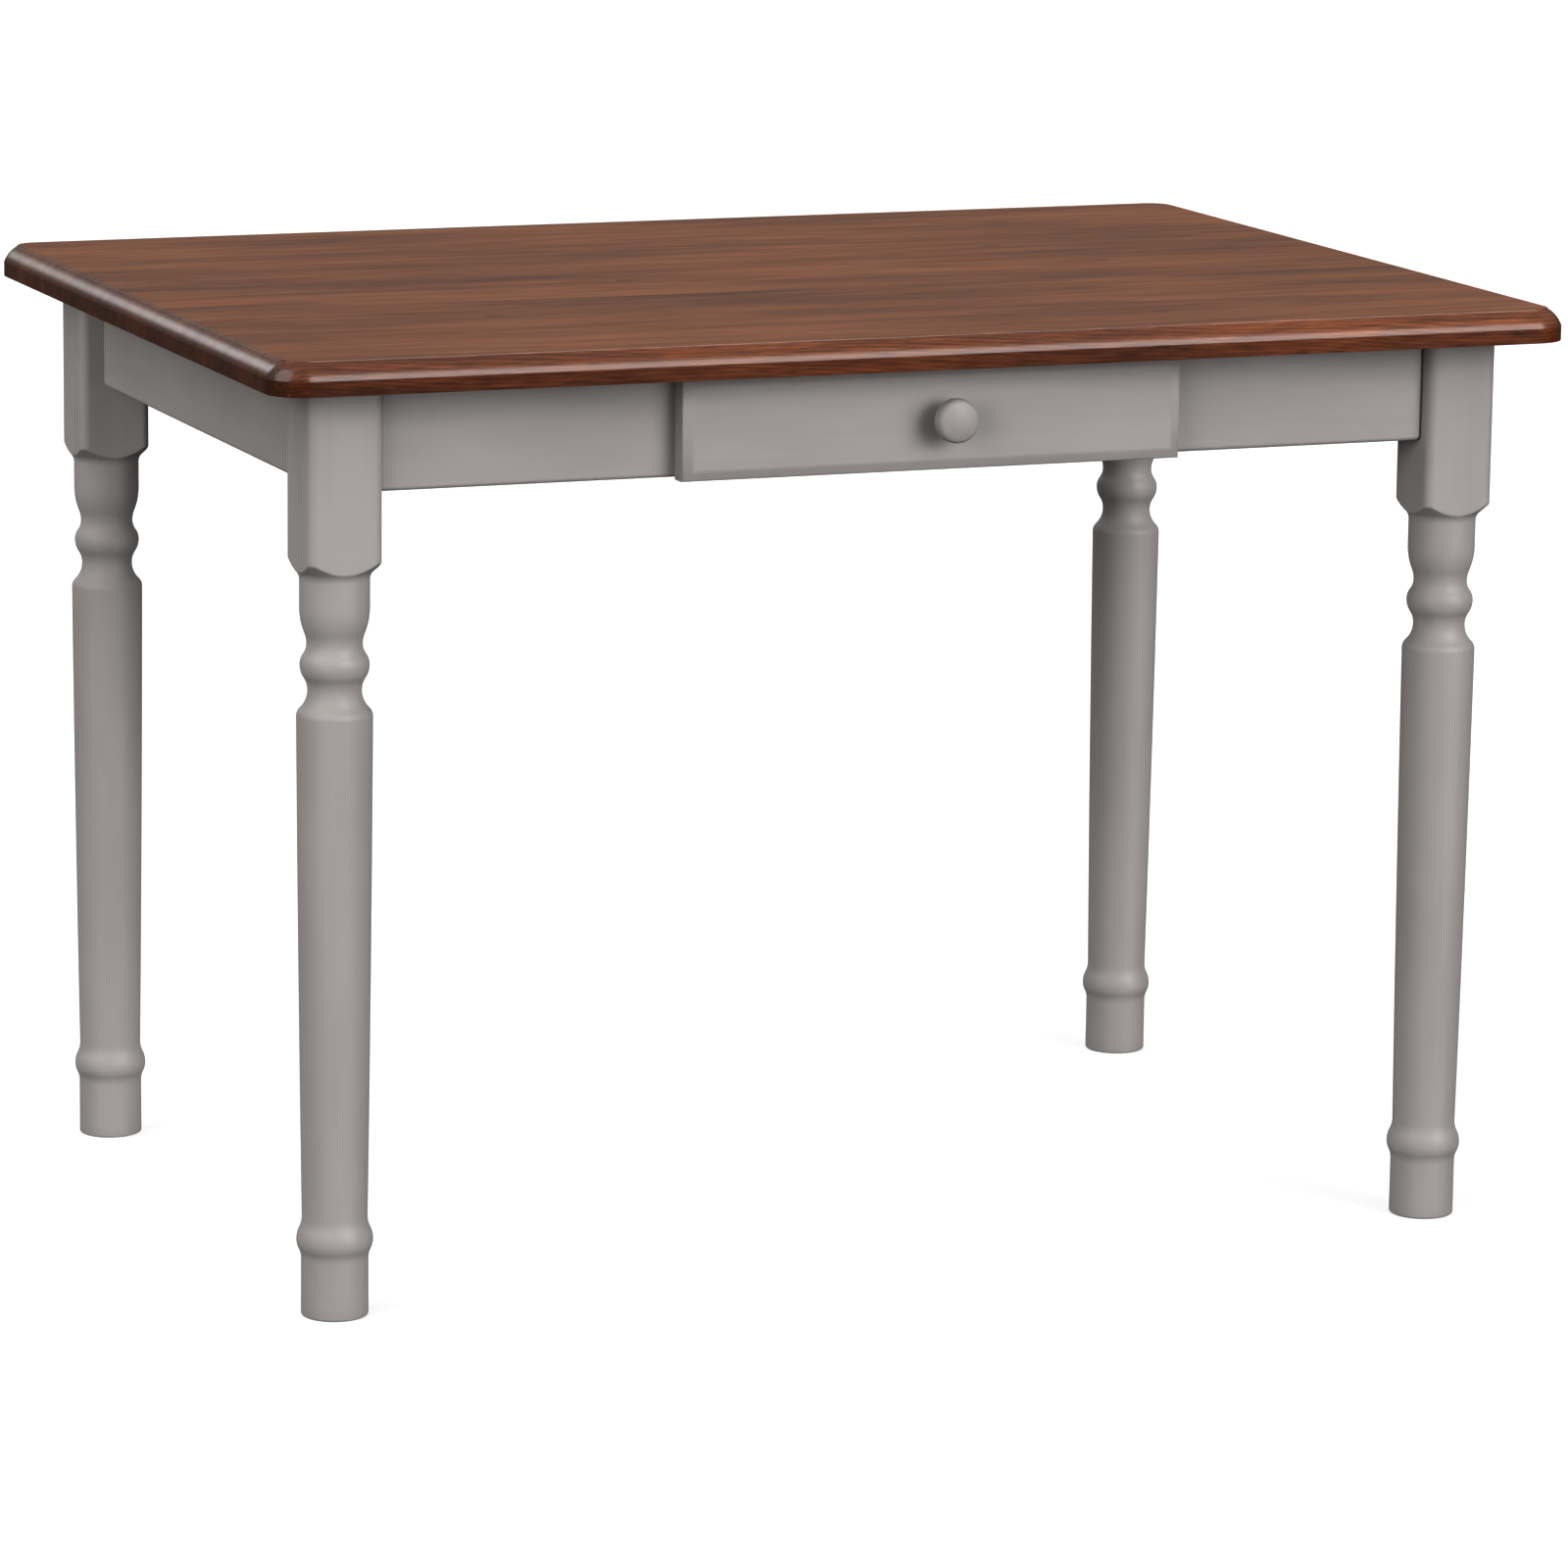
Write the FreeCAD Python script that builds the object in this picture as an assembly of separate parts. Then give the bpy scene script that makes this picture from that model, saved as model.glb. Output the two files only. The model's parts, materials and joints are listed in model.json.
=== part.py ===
import FreeCAD, Part
import os
from math import asin, atan2, copysign, cos, hypot, radians, sin, sqrt, tan
from FreeCAD import Vector

# A farmhouse kitchen table: a solid top on four turned legs, an apron frame with one drawer.
# Millimetres. The origin is on the floor under the middle of the top. X runs along the table,
# the drawer side faces -Y and Z is up. Left and right are as seen from the drawer side.

# ---- overall
table_length = 1090.0
table_width = 776.0
table_height = 760.0

# ---- top
top_thickness = 26.0
top_corner_radius = 30.0
edge_band_height = 11.8      # square lower part of the edge
edge_round_width = 11.5      # the round above it, back to the step
edge_round_bulge = 1.6
edge_step_height = 0.9       # small step between the round and the table's face

# ---- legs: sizes from the underside of the top down, then from the floor up
overhang_ends = 42.0
overhang_sides = 51.0
leg_block = 60.0
leg_block_round = 7.5
block_height = 152.5         # to the foot of the cove under the square
cove_radius = 9.3
cove_angle = 48.0            # lean of the scallops above the cove
vase_straight = 21.5
vase_shoulder = 28.6
vase_hollow = 0.3            # share of the shoulder that is hollow, above the neck
ring_above = 16.1
ring_below = 20.0
shaft_shoulder = 20.3
vase_radius = 27.2
neck_radius = 21.7
ring_radius = 26.95
throat_radius = 21.0
shaft_radius = 29.6
shaft_swell = 0.42           # bow of the shaft's long taper
ankle_radius = 25.65
bead_radius = 29.9
foot_radius = 26.3
foot_round = 2.0
foot_height = 46.0
bead_below = 15.0            # from the foot up to the bead's widest
bead_above = 18.2            # and on up to the ankle

# ---- apron frame
apron_height = 84.0
apron_thickness = 20.0
apron_edge_round = 3.5
apron_corner_round = 4.5     # its lower corners, beside the legs
long_apron_setback = 12.0
side_apron_setback = 19.0

# ---- joints of the frame
dowel_radius = 4.0
dowel_length = 30.0
dowel_edge = 20.0            # lowest dowel above the apron's lower edge
dowel_spacing = 40.0
corner_gap = 3.0             # between the leg's inner corner and its corner block
corner_block_thickness = 28.0
corner_block_height = 56.0
corner_block_lift = 14.0     # above the apron's lower edge
bolt_radius = 4.0
bolt_in_leg = 40.0
bolt_spacing = 28.0
bolt_end = 4.0               # thread showing past the nut
washer_radius = 10.0
washer_thickness = 1.6
nut_across_flats = 13.0
nut_thickness = 6.5
screw_radius = 2.0
screw_head_radius = 4.0
block_screw_length = 26.0
block_screw_spacing = 36.0
block_screw_seat = 12.0      # wood left under the screw's head

# ---- buttons that hold the top down
button_width = 30.0
button_length = 40.0
button_thickness = 18.0
button_drop = 8.0            # from the underside of the top to the tongue
tongue_thickness = 7.0
tongue_length = 8.0
slot_height = 8.0
slot_length = 36.0
button_setoff = 1.0
long_button_inset = 114.0     # middle of a button from the end of its apron
side_button_inset = 169.0
top_screw_length = 30.0

# ---- drawer
drawer_offset = 8.0          # middle of the drawer from the middle of the table
front_width = 422.0
front_height = 82.0
front_thickness = 20.0
front_drop = 1.5             # below the apron's lower edge
bevel_width = 8.2
bevel_depth = 3.6
lower_rail = 18.0            # apron left below the drawer's window
box_width = 386.0
box_height = 53.0
box_depth = 420.0
box_board = 12.0
back_inset = 58.0            # the sides run on past the back
back_drop = 4.0
bottom_thickness = 4.0
bottom_lift = 8.0
groove_depth = 5.0
housing_depth = 4.0
tails = 3
tail_width = 12.4
tail_flare = 2.0
front_screw_spread = 240.0
front_screw_rise = 17.0
front_screw_length = 25.0
small_screw_radius = 1.5
small_head_radius = 3.0
bottom_screw_length = 18.0
bottom_screw_spread = 200.0

# ---- knob, turned in wood
knob_offset = 10.0           # from the middle of the drawer front
knob_lift = 0.5
knob_radius = 17.5
knob_length = 28.0
knob_dome = 3.0              # rise of the domed face
knob_shoulder_width = 3.2
knob_shoulder_height = 5.0
knob_rim = 5.0
knob_rim_round = 1.5
knob_waist_height = 5.0
knob_foot_radius = 11.0
knob_foot_height = 2.0
knob_neck_radius = 8.0
knob_screw_depth = 15.0
knob_screw_head_radius = 4.5
knob_screw_head_height = 2.6

# ---- runners and kickers
runner_ledge = 4.0           # runner showing inside the drawer's side
runner_depth = 14.0
guide_width = 19.0
guide_height = 25.0
kicker_width = 20.0
kicker_screw_length = 28.0
kicker_screw_place = 200.0

# ---- stop button behind the drawer
stop_width = 16.0
stop_thickness = 10.0
stop_tail = 16.0
stop_pivot_drop = 20.0       # pivot below the drawer's upper edge
stop_screw_radius = 2.5
stop_screw_head = 5.0
stop_screw_head_height = 3.0
stop_screw_depth = 10.0

# ---- clearances
running_gap = 0.3            # drawer over its runners, front off the apron
side_gap = 1.0               # drawer side to guide
window_gap = 2.0             # drawer side to the window in the apron
head_gap = 1.7               # drawer side to kicker
swing_gap = 1.5              # stop button under the top
fit_gap = 0.1                # round a dowel, bolt or screw
pivot_gap = 0.06
bottom_gap = 0.2
hole_spare = 1.0             # a hole is this much deeper than what goes in
overcut = 2.0                # cutters run this far past a face

# ---- places that follow from the sizes
top_under = table_height - top_thickness
leg_half = leg_block / 2
leg_x = table_length / 2 - overhang_ends - leg_half
leg_y = table_width / 2 - overhang_sides - leg_half
apron_end_x = leg_x - leg_half
apron_end_y = leg_y - leg_half
long_out = leg_y + leg_half - long_apron_setback
long_in = long_out - apron_thickness
side_out = leg_x + leg_half - side_apron_setback
side_in = side_out - apron_thickness
apron_bottom = top_under - apron_height
dowel_heights = [apron_bottom + dowel_edge + n * dowel_spacing for n in range(2)]

corner_block_bottom = apron_bottom + corner_block_lift
corner_block_middle = corner_block_bottom + corner_block_height / 2
bolt_heights = [corner_block_middle + n * bolt_spacing / 2 for n in (-1, 1)]
block_screw_heights = [corner_block_middle + n * block_screw_spacing / 2 for n in (-1, 1)]

window_bottom = apron_bottom + lower_rail
box_bottom = window_bottom + running_gap
box_top = box_bottom + box_height
window_top = box_top + head_gap
box_half = box_width / 2
inner_half = box_half - box_board
box_front = -long_out - running_gap
box_back = box_front + box_depth
back_rear = box_back - back_inset
back_front = back_rear - box_board
subfront_rear = box_front + box_board
front_bottom = apron_bottom - front_drop
front_face = box_front - front_thickness
bottom_low = box_bottom + bottom_lift
bottom_high = bottom_low + bottom_thickness
knob_x = drawer_offset + knob_offset
knob_z = front_bottom + front_height / 2 + knob_lift
stop_pivot_z = box_top - stop_pivot_drop
stop_front = back_rear + running_gap

corners = {"front_left": (-1, -1), "front_right": (1, -1), "back_left": (-1, 1), "back_right": (1, 1)}
hands = {"left": -1, "right": 1}


# ---- helpers
def between(x, y, z):
    """A square-edged piece; each of x, y and z is a pair of limits in either order."""
    low = Vector(min(x), min(y), min(z))
    return Part.makeBox(abs(x[1] - x[0]), abs(y[1] - y[0]), abs(z[1] - z[0]), low)


def rod(radius, start, end):
    """A round piece from one point to another."""
    return Part.makeCylinder(radius, (end - start).Length, start, end - start)


def hole(radius, start, end, spare):
    """The hole for a rod: wider by the fit and longer at both ends."""
    reach = (end - start).normalize() * spare
    return rod(radius + fit_gap, start - reach, end + reach)


def countersunk(head, along, length, radius, head_radius, gap=0.0):
    """A countersunk screw from the middle of its head, or with a gap the hole that takes it."""
    start = head - along * gap
    cone = Part.makeCone(head_radius + gap, radius + gap, head_radius - radius, start, along)
    stem = Part.makeCylinder(radius + gap, length + 4 * gap, start, along)
    return cone.fuse(stem)


def line(a, b):
    """A straight edge between two points given as (across, up), drawn in the XZ plane."""
    return Part.makeLine(Vector(a[0], 0, a[1]), Vector(b[0], 0, b[1]))


def arc(a, middle, b):
    """An arc through three points given as (across, up), drawn in the XZ plane."""
    return Part.Arc(*[Vector(across, 0, up) for across, up in (a, middle, b)]).toShape()


def upright_arc(start, end):
    """An arc between two (radius, height) points, upright at the first of them."""
    across = end[0] - start[0]
    up = end[1] - start[1]
    radius = (across ** 2 + up ** 2) / (2 * across)
    half_turn = atan2(abs(across), abs(up))
    middle = (start[0] + radius * (1 - cos(half_turn)),
              start[1] + copysign(radius, up) * sin(half_turn))
    return arc(start, middle, end)


def ogee(low, high, share=0.5):
    """Two arcs that meet smoothly, upright at both ends; the lower one takes the share."""
    meet = tuple(a + share * (b - a) for a, b in zip(low, high))
    return [upright_arc(low, meet), upright_arc(high, meet)]


def spun(edges):
    """Turns an outline about the Z axis."""
    return Part.Face(Part.Wire(edges)).revolve(Vector(0, 0, 0), Vector(0, 0, 1), 360)


def rounded_outline(half_x, half_y, radius, z):
    """A rectangle with round corners, as a closed wire at one height."""
    turn = radius * (1 - 1 / sqrt(2))
    edges = []
    for sx, sy in ((1, 1), (-1, 1), (-1, -1), (1, -1)):
        on_side = Vector(sx * half_x, sy * (half_y - radius), z)
        middle = Vector(sx * (half_x - turn), sy * (half_y - turn), z)
        on_end = Vector(sx * (half_x - radius), sy * half_y, z)
        order = (on_side, middle, on_end) if sx * sy > 0 else (on_end, middle, on_side)
        if edges:
            edges.append(Part.makeLine(edges[-1].lastVertex().Point, order[0]))
        edges.append(Part.Arc(*order).toShape())
    edges.append(Part.makeLine(edges[-1].lastVertex().Point, edges[0].firstVertex().Point))
    return Part.Wire(edges)


def prism(points, z, height):
    """A straight piece from a plan outline given as (x, y) points."""
    ring = [Vector(x, y, z) for x, y in points]
    return Part.Face(Part.makePolygon(ring + ring[:1])).extrude(Vector(0, 0, height))


# ---- top
def edge_waste():
    """What the cutter takes from the top's upper edge, along the whole outline."""
    half_x = table_length / 2
    half_y = table_width / 2
    arris = (0.0, top_under + edge_band_height)
    step = (edge_round_width, table_height - edge_step_height)
    chord = hypot(step[0] - arris[0], step[1] - arris[1])
    lean_in = (step[0] - arris[0]) / chord
    lean_up = (step[1] - arris[1]) / chord
    bulge = ((arris[0] + step[0]) / 2 - edge_round_bulge * lean_up,
             (arris[1] + step[1]) / 2 + edge_round_bulge * lean_in)
    outside = -overcut
    above = table_height + overcut
    path = rounded_outline(half_x, half_y, top_corner_radius, arris[1])
    corner = path.Edges[0].firstVertex().Point

    def at(point):
        return Vector(corner.x - point[0], corner.y, point[1])

    section = Part.Wire([
        Part.makeLine(at((outside, arris[1])), at(arris)),
        Part.Arc(at(arris), at(bulge), at(step)).toShape(),
        Part.makeLine(at(step), at((step[0], above))),
        Part.makeLine(at((step[0], above)), at((outside, above))),
        Part.makeLine(at((outside, above)), at((outside, arris[1]))),
    ])
    return path.makePipeShell([section], True, True)


def table_top():
    outline = rounded_outline(table_length / 2, table_width / 2, top_corner_radius, top_under)
    slab = Part.Face(outline).extrude(Vector(0, 0, top_thickness))
    return slab.cut(edge_waste()).cut(top_screws(fit_gap))


# ---- legs
def leg_turning():
    """The turned part, from the floor to the foot of the cove under the square block."""
    cove_foot = top_under - block_height
    vase_top = cove_foot - vase_straight
    neck = vase_top - vase_shoulder
    ring = neck - ring_above
    throat = ring - ring_below
    shaft_top = throat - shaft_shoulder
    bead = foot_height + bead_below
    ankle = bead + bead_above
    belly = ((ankle_radius + shaft_radius) / 2 + shaft_swell, (ankle + shaft_top) / 2)
    outline = [
        line((0, 0), (foot_radius - foot_round, 0)),
        line((foot_radius - foot_round, 0), (foot_radius, foot_round)),
        line((foot_radius, foot_round), (foot_radius, foot_height)),
        *ogee((foot_radius, foot_height), (bead_radius, bead)),
        *ogee((bead_radius, bead), (ankle_radius, ankle)),
        arc((ankle_radius, ankle), belly, (shaft_radius, shaft_top)),
        *ogee((shaft_radius, shaft_top), (throat_radius, throat)),
        *ogee((throat_radius, throat), (ring_radius, ring)),
        *ogee((ring_radius, ring), (neck_radius, neck)),
        *ogee((neck_radius, neck), (vase_radius, vase_top), vase_hollow),
        line((vase_radius, vase_top), (vase_radius, cove_foot)),
        line((vase_radius, cove_foot), (0, cove_foot)),
        line((0, cove_foot), (0, 0)),
    ]
    return spun(outline)


def leg_head():
    """The square block, its lower end coved on the lathe into four scallops."""
    cove_foot = top_under - block_height
    lean = radians(cove_angle)
    reach = leg_block / sqrt(2) + overcut
    cove_end = (vase_radius + cove_radius * (1 - cos(lean)), cove_foot + cove_radius * sin(lean))
    shoulder = cove_end[1] + (reach - cove_end[0]) / tan(lean)
    lathe = spun([
        line((0, cove_foot), (vase_radius, cove_foot)),
        upright_arc((vase_radius, cove_foot), cove_end),
        line(cove_end, (reach, shoulder)),
        line((reach, shoulder), (reach, top_under)),
        line((reach, top_under), (0, top_under)),
        line((0, top_under), (0, cove_foot)),
    ])
    outline = rounded_outline(leg_half, leg_half, leg_block_round, cove_foot)
    return Part.Face(outline).extrude(Vector(0, 0, top_under - cove_foot)).common(lathe)


def leg(sx, sy):
    piece = leg_turning().fuse(leg_head())
    piece.translate(Vector(sx * leg_x, sy * leg_y, 0))
    return piece.cut(corner_dowels(sx, sy, hole_spare)).cut(corner_bolts(sx, sy, hole_spare))


# ---- apron frame
def corner_dowels(sx, sy, spare=0.0):
    """Dowels from one leg into its two aprons, or with spare their holes."""
    half = dowel_length / 2
    long_middle = sy * (long_out + long_in) / 2
    side_middle = sx * (side_out + side_in) / 2
    made = []
    for z in dowel_heights:
        lines = (
            (Vector(sx * (apron_end_x + half), long_middle, z),
             Vector(sx * (apron_end_x - half), long_middle, z)),
            (Vector(side_middle, sy * (apron_end_y + half), z),
             Vector(side_middle, sy * (apron_end_y - half), z)),
        )
        for start, end in lines:
            made.append(hole(dowel_radius, start, end, spare) if spare else rod(dowel_radius, start, end))
    return made


def softened(piece, outer_y):
    """Rounds an apron's lower corners, then the lower edge and the ends of its outer face."""
    through = [edge for edge in piece.Edges
               if edge.BoundBox.ZMax < apron_bottom + fit_gap
               and edge.BoundBox.YLength > apron_thickness - fit_gap]
    piece = piece.makeFillet(apron_corner_round, through)
    edges = [edge for edge in piece.Edges
             if edge.BoundBox.ZMin < top_under - fit_gap
             and abs(edge.BoundBox.YMin - outer_y) < fit_gap
             and abs(edge.BoundBox.YMax - outer_y) < fit_gap]
    return piece.makeFillet(apron_edge_round, edges)


def long_apron(sy):
    """The front or back apron, butted between two legs."""
    board = between((-apron_end_x, apron_end_x), (sy * long_in, sy * long_out), (apron_bottom, top_under))
    board = softened(board, sy * long_out)
    tools = runner_dowels(sy, hole_spare) + button_slots(sy)
    for sx in hands.values():
        tools += corner_dowels(sx, sy, hole_spare) + corner_screws(sx, sy, fit_gap)
    return board.cut(tools)


def front_apron():
    """The drawer side's apron, with a window that the drawer passes through."""
    reach = box_half + window_gap
    window = between((drawer_offset - reach, drawer_offset + reach),
                     (-long_out - overcut, -long_in + overcut), (window_bottom, window_top))
    return long_apron(-1).cut(window)


def side_apron(sx):
    board = between((-apron_end_y, apron_end_y), (side_in, side_out), (apron_bottom, top_under))
    board = softened(board, side_out)
    board.rotate(Vector(0, 0, 0), Vector(0, 0, 1), -90 * sx)
    tools = button_slots(0, sx)
    for sy in (-1, 1):
        tools += corner_dowels(sx, sy, hole_spare) + corner_screws(sx, sy, fit_gap)
    return board.cut(tools)


# ---- corner blocks and their hardware
def inward(sx, sy):
    """Unit vector from a leg's inner corner towards the middle of the table."""
    return Vector(-sx, -sy, 0) * (1 / sqrt(2))


def on_diagonal(sx, sy, distance, z):
    """A point that far inwards from a leg's inner corner, negative inside the leg."""
    return Vector(sx * apron_end_x, sy * apron_end_y, z) + inward(sx, sy) * distance


def block_ends(distance):
    """Where a plane across the corner meets the long apron (x) and the side apron (y)."""
    total = apron_end_x + apron_end_y - distance * sqrt(2)
    return total - long_in, total - side_in


def corner_block(sx, sy):
    near_x, near_y = block_ends(corner_gap)
    far_x, far_y = block_ends(corner_gap + corner_block_thickness)
    plan = [(near_x, long_in), (far_x, long_in), (side_in, far_y), (side_in, near_y)]
    body = prism([(sx * x, sy * y) for x, y in plan], corner_block_bottom, corner_block_height)
    return body.cut(corner_bolts(sx, sy, hole_spare)).cut(corner_screws(sx, sy, fit_gap))


def corner_bolts(sx, sy, spare=0.0):
    """Hanger bolts from the leg through the corner block, or with spare their holes."""
    end = corner_gap + corner_block_thickness + washer_thickness + nut_thickness + bolt_end
    made = []
    for z in bolt_heights:
        start_point = on_diagonal(sx, sy, -bolt_in_leg, z)
        end_point = on_diagonal(sx, sy, end, z)
        if spare:
            made.append(hole(bolt_radius, start_point, end_point, spare))
        else:
            made.append(rod(bolt_radius, start_point, end_point))
    return made


def corner_washers(sx, sy):
    seat = corner_gap + corner_block_thickness
    made = []
    for z in bolt_heights:
        low = on_diagonal(sx, sy, seat, z)
        high = on_diagonal(sx, sy, seat + washer_thickness, z)
        made.append(rod(washer_radius, low, high).cut(hole(bolt_radius, low, high, hole_spare)))
    return made


def corner_nuts(sx, sy):
    seat = corner_gap + corner_block_thickness + washer_thickness
    point = nut_across_flats / sqrt(3)
    made = []
    for z in bolt_heights:
        low = on_diagonal(sx, sy, seat, z)
        high = on_diagonal(sx, sy, seat + nut_thickness, z)
        blank = Part.Face(Part.makePolygon(hexagon(point))).extrude(Vector(0, 0, nut_thickness))
        blank.Placement = FreeCAD.Placement(low, FreeCAD.Rotation(Vector(0, 0, 1), inward(sx, sy)))
        made.append(blank.cut(hole(bolt_radius, low, high, hole_spare)))
    return made


def hexagon(point):
    """The closed outline of a hexagon, given from its middle to a corner."""
    flat = point * sqrt(3) / 2
    half = point / 2
    plan = [(point, 0), (half, flat), (-half, flat), (-point, 0), (-half, -flat), (half, -flat), (point, 0)]
    return [Vector(x, y, 0) for x, y in plan]


def corner_screws(sx, sy, gap=0.0):
    """Screws from a corner block into both aprons, or with a gap their holes."""
    near_x, near_y = block_ends(corner_gap)
    far_x, far_y = block_ends(corner_gap + corner_block_thickness)
    middle_x = sx * (near_x + far_x) / 2
    middle_y = sy * (near_y + far_y) / 2
    made = []
    for z in block_screw_heights:
        heads = (
            (Vector(middle_x, sy * (long_in - block_screw_seat), z), Vector(0, sy, 0)),
            (Vector(sx * (side_in - block_screw_seat), middle_y, z), Vector(sx, 0, 0)),
        )
        for head, along in heads:
            shape = countersunk(head, along, block_screw_length, screw_radius, screw_head_radius, gap)
            if gap:
                away = head - along * corner_block_thickness
                shape = shape.fuse(rod(screw_head_radius + gap, away, head))
            made.append(shape)
    return made


# ---- buttons under the top
def button_places():
    """Every button's name, the middle of its tongue's root on the apron, and the way in."""
    along_x = apron_end_x - long_button_inset
    along_y = apron_end_y - side_button_inset
    places = {}
    for end, sy in (("front", -1), ("back", 1)):
        for hand, sx in hands.items():
            places[end + "_" + hand] = (Vector(sx * along_x, sy * long_in, 0), Vector(0, -sy, 0))
    for hand, sx in hands.items():
        for end, sy in (("front", -1), ("back", 1)):
            places[hand + "_" + end] = (Vector(sx * side_in, sy * along_y, 0), Vector(-sx, 0, 0))
    return places


def along_apron(root, way, out, width, z):
    """A piece that starts and ends at the two distances out from an apron's inner face."""
    across = Vector(way.y, way.x, 0) * (width / 2)
    first = root + way * out[0] - across
    second = root + way * out[1] + across
    return between((first.x, second.x), (first.y, second.y), z)


def button_slots(sy, sx=0):
    """Slots for the button tongues in one apron: a long one by sy, a side one by sx."""
    high = top_under - button_drop
    made = []
    for root, way in button_places().values():
        if way.y == -sy and way.x == -sx:
            made.append(along_apron(root, way, (-tongue_length - hole_spare, hole_spare),
                                    slot_length, (high - slot_height, high)))
    return made


def top_button(root, way):
    """A wooden button, its tongue in the apron's slot and its body screwed to the top."""
    high = top_under - button_drop
    body = along_apron(root, way, (button_setoff, button_length), button_width,
                       (top_under - button_thickness, top_under))
    tongue = along_apron(root, way, (-tongue_length, button_setoff), button_width,
                         (high - tongue_thickness, high))
    return body.fuse(tongue).removeSplitter().cut([top_button_screw(root, way, fit_gap)])


def top_button_screw(root, way, gap=0.0):
    head = root + way * (button_length / 2) + Vector(0, 0, top_under - button_thickness)
    return countersunk(head, Vector(0, 0, 1), top_screw_length, screw_radius, screw_head_radius, gap)


def kicker_screws(hand, gap=0.0):
    middle = drawer_offset + hand * kicker_middle()
    heads = [Vector(middle, y, window_top) for y in (-kicker_screw_place, kicker_screw_place)]
    up = Vector(0, 0, 1)
    return [countersunk(head, up, kicker_screw_length, screw_radius, screw_head_radius, gap)
            for head in heads]


def top_screws(gap=0.0):
    """Every screw that goes up into the top."""
    made = [top_button_screw(root, way, gap) for root, way in button_places().values()]
    for hand in hands.values():
        made += kicker_screws(hand, gap)
    return made


# ---- runners and kickers
def kicker_middle():
    return inner_half - runner_ledge + kicker_width / 2


def kicker(hand):
    """A strip over one drawer side, which keeps the open drawer from tipping."""
    inner = drawer_offset + hand * (kicker_middle() - kicker_width / 2)
    outer = drawer_offset + hand * (kicker_middle() + kicker_width / 2)
    strip = between((inner, outer), (-long_in, long_in), (window_top, top_under))
    return strip.cut(kicker_screws(hand, fit_gap))


def runner(hand):
    """An L-section rail: a ledge that the drawer side slides on, and a guide beside it."""
    inner = inner_half - runner_ledge
    guide = box_half + side_gap
    outer = guide + guide_width
    low = window_bottom - runner_depth
    ledge = between((drawer_offset + hand * inner, drawer_offset + hand * outer),
                    (-long_in, long_in), (low, window_bottom))
    fence = between((drawer_offset + hand * guide, drawer_offset + hand * outer),
                    (-long_in, long_in), (window_bottom, window_bottom + guide_height))
    rail = ledge.fuse(fence).removeSplitter()
    return rail.cut(runner_dowels(-1, hole_spare) + runner_dowels(1, hole_spare))


def runner_dowels(sy, spare=0.0):
    """Dowels between both runners and one long apron, or with spare their holes."""
    reach = (inner_half - runner_ledge + box_half + side_gap + guide_width) / 2
    z = window_bottom - runner_depth / 2
    made = []
    for hand in hands.values():
        x = drawer_offset + hand * reach
        start = Vector(x, sy * (long_in - dowel_length / 2), z)
        end = Vector(x, sy * (long_in + apron_thickness / 2), z)
        made.append(hole(dowel_radius, start, end, spare) if spare else rod(dowel_radius, start, end))
    return made


# ---- drawer
def tail_cuts(hand):
    """The dovetails at one front corner, wide at the drawer's front, through the side."""
    pitch = box_height / tails
    made = []
    for n in range(tails):
        middle = box_bottom + (n + 0.5) * pitch
        wide = tail_width / 2 + tail_flare / 2
        narrow = tail_width / 2 - tail_flare / 2
        ring = [Vector(0, box_front, middle - wide), Vector(0, subfront_rear, middle - narrow),
                Vector(0, subfront_rear, middle + narrow), Vector(0, box_front, middle + wide)]
        tail = Part.Face(Part.makePolygon(ring + ring[:1])).extrude(Vector(box_board, 0, 0))
        tail.translate(Vector(drawer_offset + min(hand * inner_half, hand * box_half), 0, 0))
        made.append(tail)
    return made


def bottom_space():
    """The groove round the drawer box that holds its bottom, open at the back."""
    reach = inner_half + groove_depth
    return between((drawer_offset - reach, drawer_offset + reach),
                   (subfront_rear - groove_depth, box_back + overcut),
                   (bottom_low, bottom_high + bottom_gap))


def drawer_side(hand):
    x = (drawer_offset + hand * inner_half, drawer_offset + hand * box_half)
    board = between(x, (subfront_rear, box_back), (box_bottom, box_top))
    board = board.fuse(tail_cuts(hand)).removeSplitter()
    housing = (drawer_offset + hand * inner_half, drawer_offset + hand * (inner_half + housing_depth))
    slot = between(housing, (back_front, back_rear), (bottom_high, box_top - back_drop))
    return board.cut([bottom_space(), slot])


def drawer_subfront():
    """The front of the drawer box, with the pins between the dovetails of the sides."""
    board = between((drawer_offset - box_half, drawer_offset + box_half),
                    (box_front, subfront_rear), (box_bottom, box_top))
    tools = tail_cuts(-1) + tail_cuts(1) + [bottom_space()] + front_screws(fit_gap) + [knob_screw(fit_gap)]
    return board.cut(tools)


def drawer_back():
    reach = inner_half + housing_depth
    board = between((drawer_offset - reach, drawer_offset + reach),
                    (back_front, back_rear), (bottom_high + bottom_gap, box_top - back_drop))
    return board.cut(bottom_screws(fit_gap) + [stop_screw(fit_gap)])


def drawer_bottom():
    reach = inner_half + groove_depth - bottom_gap
    sheet = between((drawer_offset - reach, drawer_offset + reach),
                    (subfront_rear - groove_depth + bottom_gap, back_rear), (bottom_low, bottom_high))
    return sheet.cut(bottom_screws(fit_gap))


def front_ring(inset, y):
    """The drawer front's outline, in from its edges, at one depth."""
    half = front_width / 2 - inset
    low = front_bottom + inset
    high = front_bottom + front_height - inset
    ring = [Vector(drawer_offset + sx * half, y, z)
            for sx, z in ((-1, low), (1, low), (1, high), (-1, high), (-1, low))]
    return Part.makePolygon(ring)


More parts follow.
